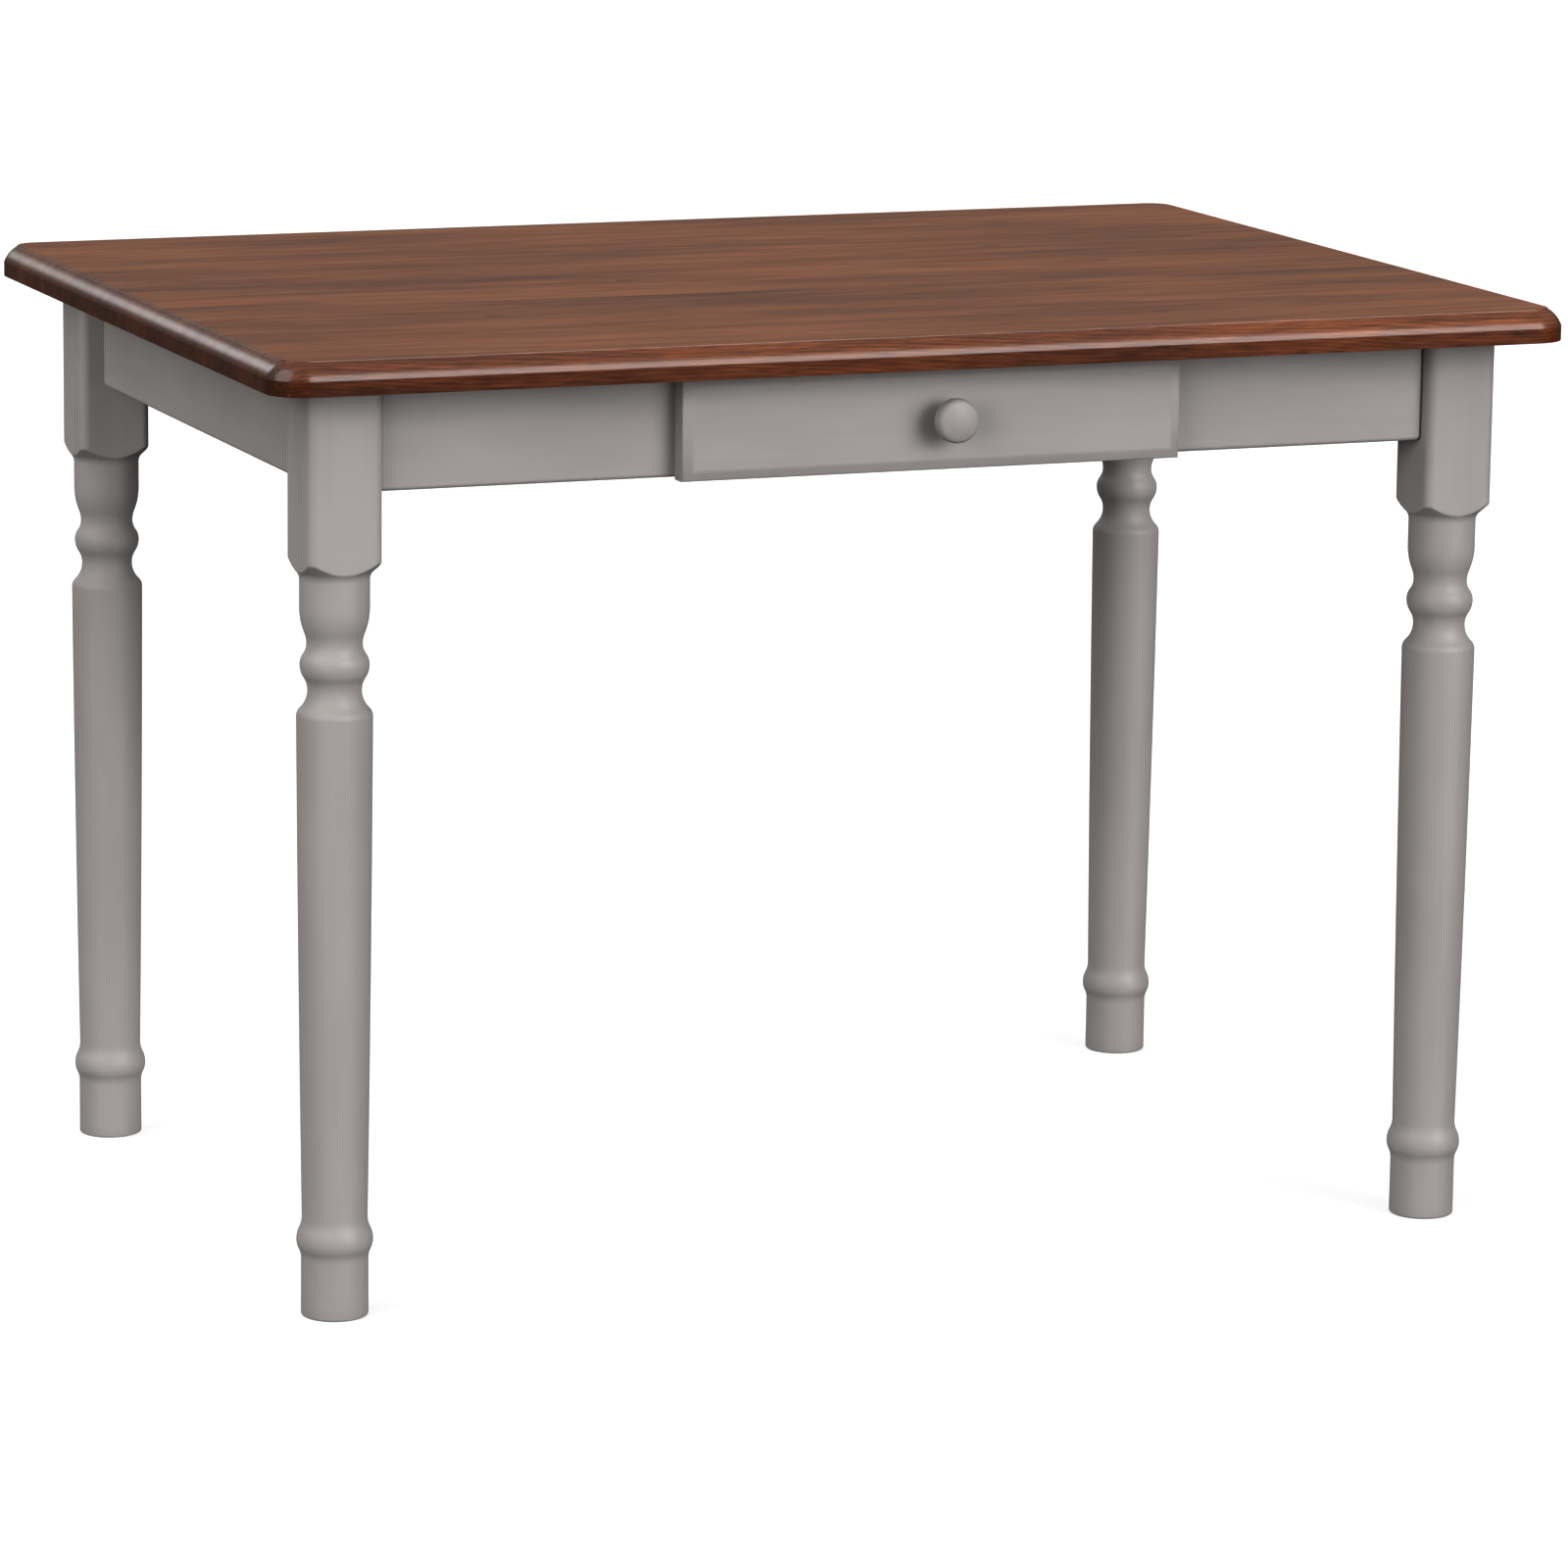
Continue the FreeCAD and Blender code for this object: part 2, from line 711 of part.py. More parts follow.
def drawer_front():
    """The board that closes over the window, with a wide flat bevel round its face."""
    rings = [front_ring(0, box_front),
             front_ring(0, front_face + bevel_depth),
             front_ring(bevel_width, front_face)]
    return Part.makeLoft(rings, True, True).cut(front_screws(fit_gap) + [knob_screw(fit_gap)])


def front_screws(gap=0.0):
    """Screws from inside the drawer box into its front, or with a gap their holes."""
    middle = (box_bottom + box_top) / 2
    made = []
    for sx in hands.values():
        for rise in (-front_screw_rise / 2, front_screw_rise / 2):
            head = Vector(drawer_offset + sx * front_screw_spread / 2, subfront_rear, middle + rise)
            made.append(countersunk(head, Vector(0, -1, 0), front_screw_length,
                                    screw_radius, screw_head_radius, gap))
    return made


def bottom_screws(gap=0.0):
    """Screws that hold the drawer's bottom up to its back, or with a gap their holes."""
    made = []
    for sx in hands.values():
        head = Vector(drawer_offset + sx * bottom_screw_spread / 2, (back_front + back_rear) / 2, bottom_low)
        made.append(countersunk(head, Vector(0, 0, 1), bottom_screw_length,
                                small_screw_radius, small_head_radius, gap))
    return made


# ---- knob
def knob():
    """A turned knob: a small foot, a waist and a thick head with a soft rim and domed face."""
    face_edge = knob_radius - knob_shoulder_width
    shoulder_high = knob_length - knob_dome
    shoulder_low = shoulder_high - knob_shoulder_height
    rim_low = shoulder_low - knob_rim
    head_low = rim_low - knob_rim_round
    waist = knob_foot_height + knob_waist_height
    flare = (knob_radius + knob_neck_radius) / 2
    ball = (face_edge ** 2 + knob_dome ** 2) / (2 * knob_dome)
    half_turn = asin(face_edge / ball) / 2
    outline = [
        line((0, 0), (knob_foot_radius, 0)),
        line((knob_foot_radius, 0), (knob_foot_radius, knob_foot_height)),
        upright_arc((knob_neck_radius, waist), (knob_foot_radius, knob_foot_height)),
        upright_arc((knob_neck_radius, waist), (flare, head_low)),
        line((flare, head_low), (knob_radius - knob_rim_round, head_low)),
        upright_arc((knob_radius, rim_low), (knob_radius - knob_rim_round, head_low)),
        line((knob_radius, rim_low), (knob_radius, shoulder_low)),
        upright_arc((knob_radius, shoulder_low), (face_edge, shoulder_high)),
        arc((face_edge, shoulder_high),
            (ball * sin(half_turn), knob_length - ball * (1 - cos(half_turn))), (0, knob_length)),
        line((0, knob_length), (0, 0)),
    ]
    piece = spun(outline)
    piece.Placement = FreeCAD.Placement(Vector(knob_x, front_face, knob_z),
                                        FreeCAD.Rotation(Vector(0, 0, 1), Vector(0, -1, 0)))
    return piece.cut([knob_screw(fit_gap)])


def knob_screw(gap=0.0):
    """The screw from inside the drawer into the knob, or with a gap its hole."""
    seat = Vector(knob_x, subfront_rear, knob_z)
    tip = Vector(knob_x, front_face - knob_screw_depth, knob_z)
    if gap:
        return hole(screw_radius, seat, tip, hole_spare)
    head = rod(knob_screw_head_radius, seat + Vector(0, knob_screw_head_height, 0), seat)
    return rod(screw_radius, seat, tip).fuse(head)


# ---- stop button
def stop_button():
    """The turn button behind the drawer; upright, it meets the apron's upper rail."""
    reach = top_under - swing_gap - stop_pivot_z
    half = stop_width / 2
    bar = between((-half, half), (0, stop_thickness), (half - stop_tail, reach - half))
    tip = Part.makeCylinder(half, stop_thickness, Vector(0, 0, reach - half), Vector(0, 1, 0))
    bar = bar.fuse(tip).removeSplitter()
    bar.translate(Vector(drawer_offset, stop_front, stop_pivot_z))
    start = Vector(drawer_offset, stop_front - overcut, stop_pivot_z)
    end = Vector(drawer_offset, stop_front + stop_thickness + overcut, stop_pivot_z)
    return bar.cut(rod(stop_screw_radius + pivot_gap, start, end))


def stop_screw(gap=0.0):
    """The pivot screw of the stop button, or with a gap its hole in the drawer's back."""
    tip = Vector(drawer_offset, back_rear - stop_screw_depth, stop_pivot_z)
    seat = Vector(drawer_offset, stop_front + stop_thickness + running_gap, stop_pivot_z)
    if gap:
        return hole(stop_screw_radius, tip, seat, hole_spare)
    head = rod(stop_screw_head, seat, seat + Vector(0, stop_screw_head_height, 0))
    return rod(stop_screw_radius, tip, seat).fuse(head)


# ---- every node
def every_corner(make):
    """One kind of hardware at all four corners."""
    made = []
    for sx, sy in corners.values():
        made += make(sx, sy)
    return made


def build():
    nodes = {"table_top": [table_top()]}
    for name, (sx, sy) in corners.items():
        nodes["leg_" + name] = [leg(sx, sy)]
        nodes["corner_block_" + name] = [corner_block(sx, sy)]
    nodes["front_apron"] = [front_apron()]
    nodes["back_apron"] = [long_apron(1)]
    nodes["apron_dowels"] = every_corner(corner_dowels)
    nodes["hanger_bolts"] = every_corner(corner_bolts)
    nodes["bolt_washers"] = every_corner(corner_washers)
    nodes["bolt_nuts"] = every_corner(corner_nuts)
    nodes["corner_block_screws"] = every_corner(corner_screws)
    for name, (root, way) in button_places().items():
        nodes["top_button_" + name] = [top_button(root, way)]
    nodes["top_screws"] = top_screws()
    for name, hand in hands.items():
        nodes[name + "_apron"] = [side_apron(hand)]
        nodes["runner_" + name] = [runner(hand)]
        nodes["kicker_" + name] = [kicker(hand)]
        nodes["drawer_side_" + name] = [drawer_side(hand)]
    nodes["runner_dowels"] = runner_dowels(-1) + runner_dowels(1)
    nodes["drawer_front"] = [drawer_front()]
    nodes["drawer_subfront"] = [drawer_subfront()]
    nodes["drawer_back"] = [drawer_back()]
    nodes["drawer_bottom"] = [drawer_bottom()]
    nodes["drawer_front_screws"] = front_screws()
    nodes["drawer_bottom_screws"] = bottom_screws()
    nodes["drawer_knob"] = [knob()]
    nodes["knob_screw"] = [knob_screw()]
    nodes["stop_button"] = [stop_button()]
    nodes["stop_button_screw"] = [stop_screw()]
    return nodes


def save(nodes):
    """Writes each node, one solid or a group of separate solids, to its own STEP file."""
    os.makedirs("parts", exist_ok=True)
    for name, solids in nodes.items():
        solids = [solid for piece in solids for solid in piece.Solids]
        shape = solids[0] if len(solids) == 1 else Part.makeCompound(solids)
        shape.exportStep("parts/" + name + ".step")


save(build())
print("drawer travel to the stop, mm:", round(stop_front + long_in - running_gap, 1))
print("stop button pivot, mm:", drawer_offset, round(stop_front, 2), round(stop_pivot_z, 2))
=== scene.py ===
# %% [markdown]
# # A farmhouse kitchen table
# The table is a stained solid top on four turned and painted legs, with one drawer in its apron.
# The CAD model is the fixed frame of this scene: it says where every board, leg and screw is.
# Blender gives the same pieces their finer shape and their finish, and sets up a small studio.

# %% The frame
import json
from functools import partialmethod
from math import acos, atan2, copysign, cos, hypot, pi, radians, sin, sqrt

import bmesh
import bpy
import numpy as np
from mathutils import Matrix, Vector


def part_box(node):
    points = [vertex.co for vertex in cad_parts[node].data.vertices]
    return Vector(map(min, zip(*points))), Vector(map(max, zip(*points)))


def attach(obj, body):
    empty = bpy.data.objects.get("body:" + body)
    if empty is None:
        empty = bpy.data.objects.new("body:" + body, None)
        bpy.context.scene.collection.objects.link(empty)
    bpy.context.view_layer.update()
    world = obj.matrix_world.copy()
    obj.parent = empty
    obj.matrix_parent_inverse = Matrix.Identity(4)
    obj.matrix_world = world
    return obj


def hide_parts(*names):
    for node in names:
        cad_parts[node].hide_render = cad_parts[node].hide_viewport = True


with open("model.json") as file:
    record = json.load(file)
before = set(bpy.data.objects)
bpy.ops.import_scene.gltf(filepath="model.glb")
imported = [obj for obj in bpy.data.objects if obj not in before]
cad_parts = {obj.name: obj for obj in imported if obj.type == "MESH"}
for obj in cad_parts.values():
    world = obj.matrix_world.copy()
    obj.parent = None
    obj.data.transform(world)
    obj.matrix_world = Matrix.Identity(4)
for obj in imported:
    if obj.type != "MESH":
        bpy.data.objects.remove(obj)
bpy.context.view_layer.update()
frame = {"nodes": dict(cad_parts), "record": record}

MM = 0.001
record = frame["record"]
body_of = {node: body for body, nodes in record["behaviour"]["bodies"].items() for node in nodes}
corners = {"front_left": (-1, -1), "front_right": (1, -1), "back_left": (-1, 1), "back_right": (1, 1)}

# %% [markdown]
# ## Small helpers
# A node tree can be drawn by hand in Blender's editors, or built line by line in a script.
# Here `put` adds one node, links or sets each of its inputs, and gives back a `Step`: the output
# that the next node works on. A sum with steps adds Math nodes, so that a material or a Geometry
# Nodes tree reads as a short recipe.

# %% Helpers for node trees
def feed(node, inputs):
    """Links each input that is given another node's output, and sets the others."""
    for key, value in dict(inputs).items():
        value = getattr(value, "socket", value)
        if isinstance(value, bpy.types.NodeSocket):
            node.id_data.links.new(value, node.inputs[key])
        else:
            node.inputs[key].default_value = value


def put(tree, kind, inputs=(), **settings):
    """Adds a node to a tree and gives back its first output."""
    node = tree.nodes.new(kind)
    for name, value in settings.items():
        setattr(node, name, value)
    feed(node, inputs)
    return Step(node.outputs[0])


class Step:
    """One output of a node; a name or number in brackets gives another output of that node."""

    def __init__(self, socket):
        self.socket = socket

    def __getitem__(self, key):
        return Step(self.socket.node.outputs[key])

    def into(self, kind, inputs=(), **settings):
        """Adds a node that works on this output."""
        return put(self.socket.id_data, kind, {0: self, **dict(inputs)}, **settings)

    def math(self, operation, *others):
        return self.into("ShaderNodeMath", enumerate(others, 1), operation=operation)

    def vector_math(self, operation, *others):
        return self.into("ShaderNodeVectorMath", enumerate(others, 1), operation=operation)

    def __rsub__(self, other):
        return self * -1.0 + other

    __add__ = partialmethod(math, "ADD")
    __sub__ = partialmethod(math, "SUBTRACT")
    __mul__ = partialmethod(math, "MULTIPLY")
    __truediv__ = partialmethod(math, "DIVIDE")
    __pow__ = partialmethod(math, "POWER")
    __abs__ = partialmethod(math, "ABSOLUTE")


def spread(value, low, high, to_low=0.0, to_high=1.0):
    """The value moved smoothly from one range to another."""
    inputs = {"From Min": low, "From Max": high, "To Min": to_low, "To Max": to_high}
    return value.into("ShaderNodeMapRange", inputs, interpolation_type="SMOOTHSTEP")


def choose(share, first, second):
    """The first number where the share is 0 and the second where it is 1."""
    return share.into("ShaderNodeMix", {2: first, 3: second})


def blend_colours(share, first, second):
    return share.into("ShaderNodeMix", {6: first, 7: second}, data_type="RGBA")[2]


def colour(red, green, blue):
    """A colour as read on a screen, from 0 to 255, turned into the linear light that Blender uses."""
    shares = [channel / 255 for channel in (red, green, blue)]
    return [s / 12.92 if s <= 0.04045 else ((s + 0.055) / 1.055) ** 2.4 for s in shares] + [1.0]


white = colour(255, 255, 255)

# %% [markdown]
# Meshes need a few helpers too. A CAD mesh comes as loose triangles with knife-sharp edges.
# `seat` says which CAD pieces a new piece stands for: it hides them and puts the piece on their body, so
# that it moves like them.

# %% Helpers for meshes
def add_object(name, data):
    made = bpy.data.objects.new(name, data)
    bpy.context.collection.objects.link(made)
    return made


def smooth(data):
    """Smooth shading, except where the faces meet at a clear angle."""
    data.shade_smooth()
    data.set_sharp_from_angle(angle=radians(38))


def thing(name, mesh, material=None):
    """An object made from a bmesh."""
    data = bpy.data.meshes.new(name)
    bmesh.ops.recalc_face_normals(mesh, faces=mesh.faces)
    mesh.to_mesh(data)
    mesh.free()
    smooth(data)
    if material:
        data.materials.append(material)
    return add_object(name, data)


def circle_of(mesh, radius, height, sides):
    angles = [2 * pi * n / sides for n in range(sides)]
    return [mesh.verts.new((radius * cos(a), radius * sin(a), height)) for a in angles]


def join_rings(mesh, rings):
    """A band of faces between each ring of vertices and the next."""
    for below, above in zip(rings, rings[1:]):
        for n in range(len(below)):
            m = (n + 1) % len(below)
            mesh.faces.new((below[n], below[m], above[m], above[n]))


def seat(piece, *nodes):
    """The piece stands for these CAD nodes: they are hidden, and it goes on their body."""
    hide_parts(*nodes)
    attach(piece, body_of[nodes[0]])


def keep_flats(made):
    """Flat faces stay flat, and only the small rounds between them turn the light."""
    made.modifiers.new("Flat faces stay flat", "WEIGHTED_NORMAL").keep_sharp = True


def faces_of(made):
    return len(made.data.polygons)


# %% [markdown]
# ## Wood
# Sawn wood is a solid pattern: growth rings round the pith, fibres along the trunk and slow
# streaks of colour. A pattern computed in three dimensions gives long grain on the face of a board
# and rings on its end without any unwrapping, so all woods here share these few functions.

# %% The grain of a board
def grain_space(tree, along):
    """Object coordinates with X along the grain, which runs along the named axis."""
    parts = put(tree, "ShaderNodeTexCoord")["Object"].into("ShaderNodeSeparateXYZ")
    order = {"X": "XYZ", "Y": "YXZ", "Z": "ZXY"}[along]
    return put(tree, "ShaderNodeCombineXYZ", {n: parts[axis] for n, axis in enumerate(order)})


def drawn_noise(place, along, across, detail=3.0, roughness=0.5):
    """Noise drawn out along the grain, from its cells per metre along and across it."""
    scaled = place.vector_math("MULTIPLY", (along, across, across))
    return scaled.into("ShaderNodeTexNoise", {"Scale": 1.0, "Detail": detail, "Roughness": roughness})


def late_wood(place, pith, spacing, tilt, wobble):
    """Growth rings round a pith line that dips by the tilt: 1 in the dark late wood of each ring."""
    parts = place.into("ShaderNodeSeparateXYZ")
    across = parts["Y"] - pith[0]
    deep = parts["Z"] - pith[1] + parts["X"] * tilt
    wave = drawn_noise(place, 2.5, 14.0, 2.0) * wobble
    radius = (across ** 2 + deep ** 2).math("SQRT") + wave
    phase = (radius / spacing).math("FRACT")
    return spread(phase, 0.25, 0.9) * spread(phase, 1.0, 0.93)


def surface(name):
    """A new material and its tree, with the shader in place."""
    made = bpy.data.materials.new(name)
    made.use_nodes = True
    tree = made.node_tree
    return made, tree, tree.nodes["Principled BSDF"]


def raise_grain(shader, height, depth):
    """Small relief: the height, from 0 to 1, lifts the surface by up to the depth."""
    inputs = {"Height": height, "Distance": depth, "Strength": 1.0}
    feed(shader, {"Normal": put(shader.id_data, "ShaderNodeBump", inputs)})


# %% [markdown]
# ### The stained top
# The top is glued up from lengthwise staves, stained dark brown and lacquered to a satin shine.
# Each stave was cut from its own plank, so each one gets its own shift, pith and tone from a
# random number that depends only on the stave's place. Stain sinks deeper into soft streaks and
# pores, deeper still where the router has cut the moulding across the fibres, and deepest into the
# square band and the end grain. So the face is the palest part: its height tells it from the
# moulding, and the direction of the surface tells the ends. The lacquer is the shader's coat, and
# the pale look of the face from the front is the pale studio mirrored in it.
# The round of the moulding is kept paler than the band: partly stain, and partly a painted sheen on top of
# the coat's real shine.

# %% The stained and lacquered wood
top_low, top_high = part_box("table_top")
stave_width = 92 * MM
stain_dark = colour(97, 59, 38)
stain_middle = colour(140, 86, 50)
stain_light = colour(180, 114, 65)
band_tint = (0.37, 0.27, 0.19, 1.0)
# The round's tint is partly stain and partly a painted sheen that makes it paler.
round_stain_and_sheen = (0.56, 0.47, 0.42, 1.0)
end_grain_tint = (0.27, 0.22, 0.17, 1.0)
stain_and_sheen_arris = 12.0 * MM
stain_and_sheen_fade = 3.0 * MM
knots = [(-298, -175), (-123, -2), (257, 128), (308, 13), (223, -295)]
knot_long = 13.0 * MM
knot_wide = 5.0 * MM


def knot_shade(place):
    """1 in the heart of each small knot, fading to 0 round it."""
    shade = 0.0
    for x, y in knots:
        off = place.vector_math("SUBTRACT", (x * MM, y * MM, top_high.z))
        scaled = off.vector_math("MULTIPLY", (1 / knot_long, 1 / knot_wide, 1 / knot_long))
        shade = spread(scaled.vector_math("LENGTH")["Value"], 1.0, 0.1) + shade
    return shade


def stain_and_sheen_tint(tree, height):
    """How much the stain darkens: not at all on the face, more on the moulding, most on the ends; the round
    of the moulding is kept paler than the band, partly as a painted sheen.
    """
    facing = put(tree, "ShaderNodeTexCoord")["Normal"].into("ShaderNodeSeparateXYZ")
    on_end = spread(abs(facing["X"]), 0.35, 0.9)
    high = spread(height, top_high.z - 0.6 * MM, top_high.z - 0.1 * MM)
    on_face = high * spread(facing["Z"], 0.95, 0.99)
    # The moulding turns paler from the band up into the round: partly stain, partly a painted sheen.
    arris = top_low.z + stain_and_sheen_arris
    moulding = blend_colours(spread(height, arris, arris + stain_and_sheen_fade), band_tint, round_stain_and_sheen)
    edges = blend_colours(on_end, moulding, end_grain_tint)
    return blend_colours(on_face, edges, white), on_face


def stained_wood():
    made, tree, shader = surface("stained_top")
    place = put(tree, "ShaderNodeTexCoord")["Object"]
    parts = place.into("ShaderNodeSeparateXYZ")
    count = parts["Y"] / stave_width
    stave = {"W": count.math("FLOOR")}
    chance = put(tree, "ShaderNodeTexWhiteNoise", stave, noise_dimensions="1D")["Color"]
    chances = chance.into("ShaderNodeSeparateXYZ")
    own = place.vector_math("ADD", chance.vector_math("MULTIPLY", (9.0, 3.0, 5.0)))
    # The fibres of a real stave wander sideways a little, so every streak bends with them.
    wander = drawn_noise(own, 1.8, 7.0, 1.0) * (30 * MM)
    own = own.vector_math("ADD", put(tree, "ShaderNodeCombineXYZ", {1: wander}))
    # Each stave's pith lies somewhere under it, so its rings cross the face as long arches.
    inside = (count.math("FRACT") - 0.5) * stave_width
    local = put(tree, "ShaderNodeCombineXYZ", {0: parts["X"], 1: inside, 2: parts["Z"]})
    pith = (spread(chances["X"], 0.0, 1.0, -0.03, 0.03), spread(chances["Y"], 0.0, 1.0, 0.62, 0.71))
    rings = late_wood(local, pith, 7 * MM, spread(chances["Z"], 0.0, 1.0, -0.02, 0.02), 30 * MM)
    figure = late_wood(local, pith, 3.2 * MM, 0.05, 34 * MM)
    bands = drawn_noise(own, 2.6, 17.0, 2.0)
    streaks = drawn_noise(own, 9.0, 60.0, 2.0)
    threads = drawn_noise(own, 16.0, 170.0, 2.0)
    fibres = drawn_noise(own, 38.0, 420.0, 3.0, 0.6)
    dashes = spread(drawn_noise(own, 26.0, 200.0, 1.0), 0.33, 0.24)
    glints = spread(drawn_noise(own, 5.0, 130.0, 1.0), 0.62, 0.72)
    tint, on_face = stain_and_sheen_tint(tree, parts["Z"])
    tone = spread(chances["Z"], 0.0, 1.0, 0.45, 0.57)
    tone += (bands - 0.5) + (streaks - 0.5) * 0.55 + (threads - 0.5) * 0.25
    tone += (fibres - 0.5) * spread(on_face, 0.0, 1.0, 1.2, 0.25)
    tone += figure * spread(on_face, 0.0, 1.0, -0.25, 0.0)
    for pattern, weight in ((rings, -0.08), (dashes, -0.3), (glints, 0.18), (knot_shade(place), -0.6)):
        tone += pattern * weight
    ramp = tone.into("ShaderNodeValToRGB")
    stops = ramp.socket.node.color_ramp.elements
    stops[0].position, stops[0].color = 0.1, stain_dark
    stops[1].position, stops[1].color = 0.95, stain_light
    stops.new(0.5).color = stain_middle
    inputs = {0: 1.0, 6: ramp, 7: tint}
    feed(shader, {
        "Base Color": put(tree, "ShaderNodeMix", inputs, data_type="RGBA", blend_type="MULTIPLY")[2],
        "Roughness": spread(streaks, 0.3, 0.7, 0.46, 0.38), "Specular IOR Level": 0.3,
        "Coat Weight": 0.8, "Coat Roughness": 0.19})
    raise_grain(shader, fibres, 0.012 * MM)
    return made


top_finish = stained_wood()
print("stained top:", len(top_finish.node_tree.nodes), "nodes")

# %% [markdown]
# ### Paint
# Legs, aprons, drawer front and knob are sprayed with a warm grey satin paint. Paint hides the
# colour of the wood but not all of its shape: faint lines of grain and a fine orange peel stay,
# and the film is never the same thickness, which shows as a slow change of tone and gloss.
# The grain runs along a board, so there is one paint for each direction.

# %% The paint
paint_thin = colour(144, 140, 138)
paint_thick = colour(151, 147, 145)


def satin_paint(along):
    made, tree, shader = surface("painted_wood_" + along.lower())
    place = grain_space(tree, along)
    film = drawn_noise(place, 6.0, 22.0, 3.0)
    grain = drawn_noise(place, 7.0, 260.0, 2.0)
    peel = drawn_noise(place, 900.0, 900.0, 1.0)
    thick = spread(film * 0.8 + grain * 0.2, 0.3, 0.7)
    feed(shader, {"Base Color": blend_colours(thick, paint_thin, paint_thick),
                  "Roughness": spread(film, 0.3, 0.7, 0.5, 0.42), "Specular IOR Level": 0.33})
    raise_grain(shader, grain + peel * 0.5, 0.04 * MM)
    return made


paint_along = {axis: satin_paint(axis) for axis in "XYZ"}
print("paints:", [made.name for made in paint_along.values()])

# %% [markdown]
# ### Bare woods
# Inside, the wood is bare: yellow pine with strong rings for the drawer box, runners and corner
# blocks, close-grained beech for dowels and buttons, and birch plywood for the drawer's bottom.
# They are the same pattern with other colours and ring widths.

# %% The bare woods
def bare_wood(name, along, early, late, spacing, pith, rings):
    """Sanded wood: early and late are the two colours in each growth ring."""
    made, tree, shader = surface(name)
    place = grain_space(tree, along)
    ring = late_wood(place, pith, spacing, 0.015, 9 * MM)
    fibres = drawn_noise(place, 12.0, 900.0, 2.0, 0.6)
    clouds = drawn_noise(place, 3.0, 20.0, 2.0)
    share = ring * rings + fibres * 0.35 + clouds * 0.3 - 0.3
    feed(shader, {"Base Color": blend_colours(share, colour(*early), colour(*late)),
                  "Roughness": spread(fibres, 0.2, 0.8, 0.56, 0.68), "Specular IOR Level": 0.35})
    raise_grain(shader, 1.0 - fibres, 0.06 * MM)
    return made


def pine(along, pith):
    return bare_wood("pine_" + along.lower(), along, (226, 190, 142), (190, 134, 80), 3.4 * MM, pith, 0.65)


pine_along = {"X": pine("X", (-0.25, 0.60)), "Y": pine("Y", (0.05, 0.60)), "Z": pine("Z", (0.0, 0.0))}
beech = bare_wood("bare_beech", "Y", (214, 176, 138), (184, 138, 100), 1.6 * MM, (0.0, 0.6), 0.35)
plywood = bare_wood("birch_plywood", "Y", (220, 188, 146), (192, 150, 104), 17 * MM, (0.02, 0.62), 0.3)
print("bare woods:", [made.name for made in (*pine_along.values(), beech, plywood)])

# %% [markdown]
# ### Zinc
# The screws, bolts, nuts and washers are plated with zinc, which is a dull bluish metal with
# small crystals. A Voronoi pattern changes the gloss from crystal to crystal.

# %% The zinc plate
def zinc_plate():
    made, tree, shader = surface("zinc_steel")
    crystals = put(tree, "ShaderNodeTexCoord")["Object"].into("ShaderNodeTexVoronoi", {"Scale": 900.0})
    share = crystals["Color"].into("ShaderNodeSeparateXYZ")["X"]
    feed(shader, {"Base Color": blend_colours(share, colour(188, 190, 188), colour(214, 214, 208)),
                  "Roughness": spread(share, 0.0, 1.0, 0.3, 0.42), "Metallic": 1.0})
    return made


zinc = zinc_plate()
print("zinc:", len(zinc.node_tree.nodes), "nodes")

# %% [markdown]
# ## Outlines
# A router bit or a turner's chisel leaves an outline made of arcs. `quarter` gives the points of
# an arc that starts upright, two of them make an ogee, and `eased` takes the knife edge off each
# corner, as sandpaper and paint do.

# %% Arcs and eased corners
def quarter(start, end, steps):
    """Points of an arc between two (across, up) points that is upright at the first."""
    across = end[0] - start[0]
    up = end[1] - start[1]
    radius = (across ** 2 + up ** 2) / (2 * across)
    turn = 2 * atan2(abs(across), abs(up))
    angles = [turn * n / steps for n in range(steps + 1)]
    return [(start[0] + radius * (1 - cos(a)), start[1] + copysign(radius, up) * sin(a)) for a in angles]


def ogee(low, high, share=0.5, steps=9):
    """Two arcs that meet smoothly, upright at both ends; the lower one takes the share."""
    meet = tuple(a + share * (b - a) for a, b in zip(low, high))
    return quarter(low, meet, steps) + quarter(high, meet, steps)[-2::-1]


def bowed(start, end, bow, steps):
    """Points from start to end that swell sideways by the bow at the middle."""
    shares = [n / steps for n in range(steps + 1)]
    length = hypot(end[0] - start[0], end[1] - start[1])
    out = ((end[1] - start[1]) / length, (start[0] - end[0]) / length)
    made = []
    for s in shares:
        lift = 4 * bow * s * (1 - s)
        made.append(tuple(a + s * (b - a) + lift * o for a, b, o in zip(start, end, out)))
    return made


def eased(points, cut, least=radians(16), steps=4):
    """The open outline with every clear corner rounded, starting at most the cut away from it."""
    made = [points[0]]
    for before, corner, after in zip(points, points[1:], points[2:]):
        back = Vector(before) - Vector(corner)
        on = Vector(after) - Vector(corner)
        if back.length < 1e-9 or on.length < 1e-9:
            continue
        if pi - back.angle(on) < least:
            made.append(corner)
            continue
        start = back.normalized() * min(cut, back.length / 2)
        end = on.normalized() * min(cut, on.length / 2)
        for n in range(steps + 1):
            t = n / steps
            made.append(tuple(Vector(corner) + start * (1 - t) ** 2 + end * t ** 2))
    return made + [points[-1]]


# %% [markdown]
# ## The top
# The real top is a glued panel, cut to size and run along a router, whose bit leaves a square
# lower band, a bold round and a small step up to the face. The same outline goes all the way
# round, so one function draws the panel's plan at any inset, and the rings at the outline's
# insets and heights are joined up. A Curve to Mesh sweep would do as well, but rings keep the
# face and the underside as single flat faces.

# %% The moulded edge and the panel
band_height = 11.8 * MM
round_width = 11.5 * MM
round_bulge = 1.6 * MM
step_height = 0.9 * MM
plan_corner = 30.0 * MM
corner_steps = 20
edge_ease = 0.6 * MM


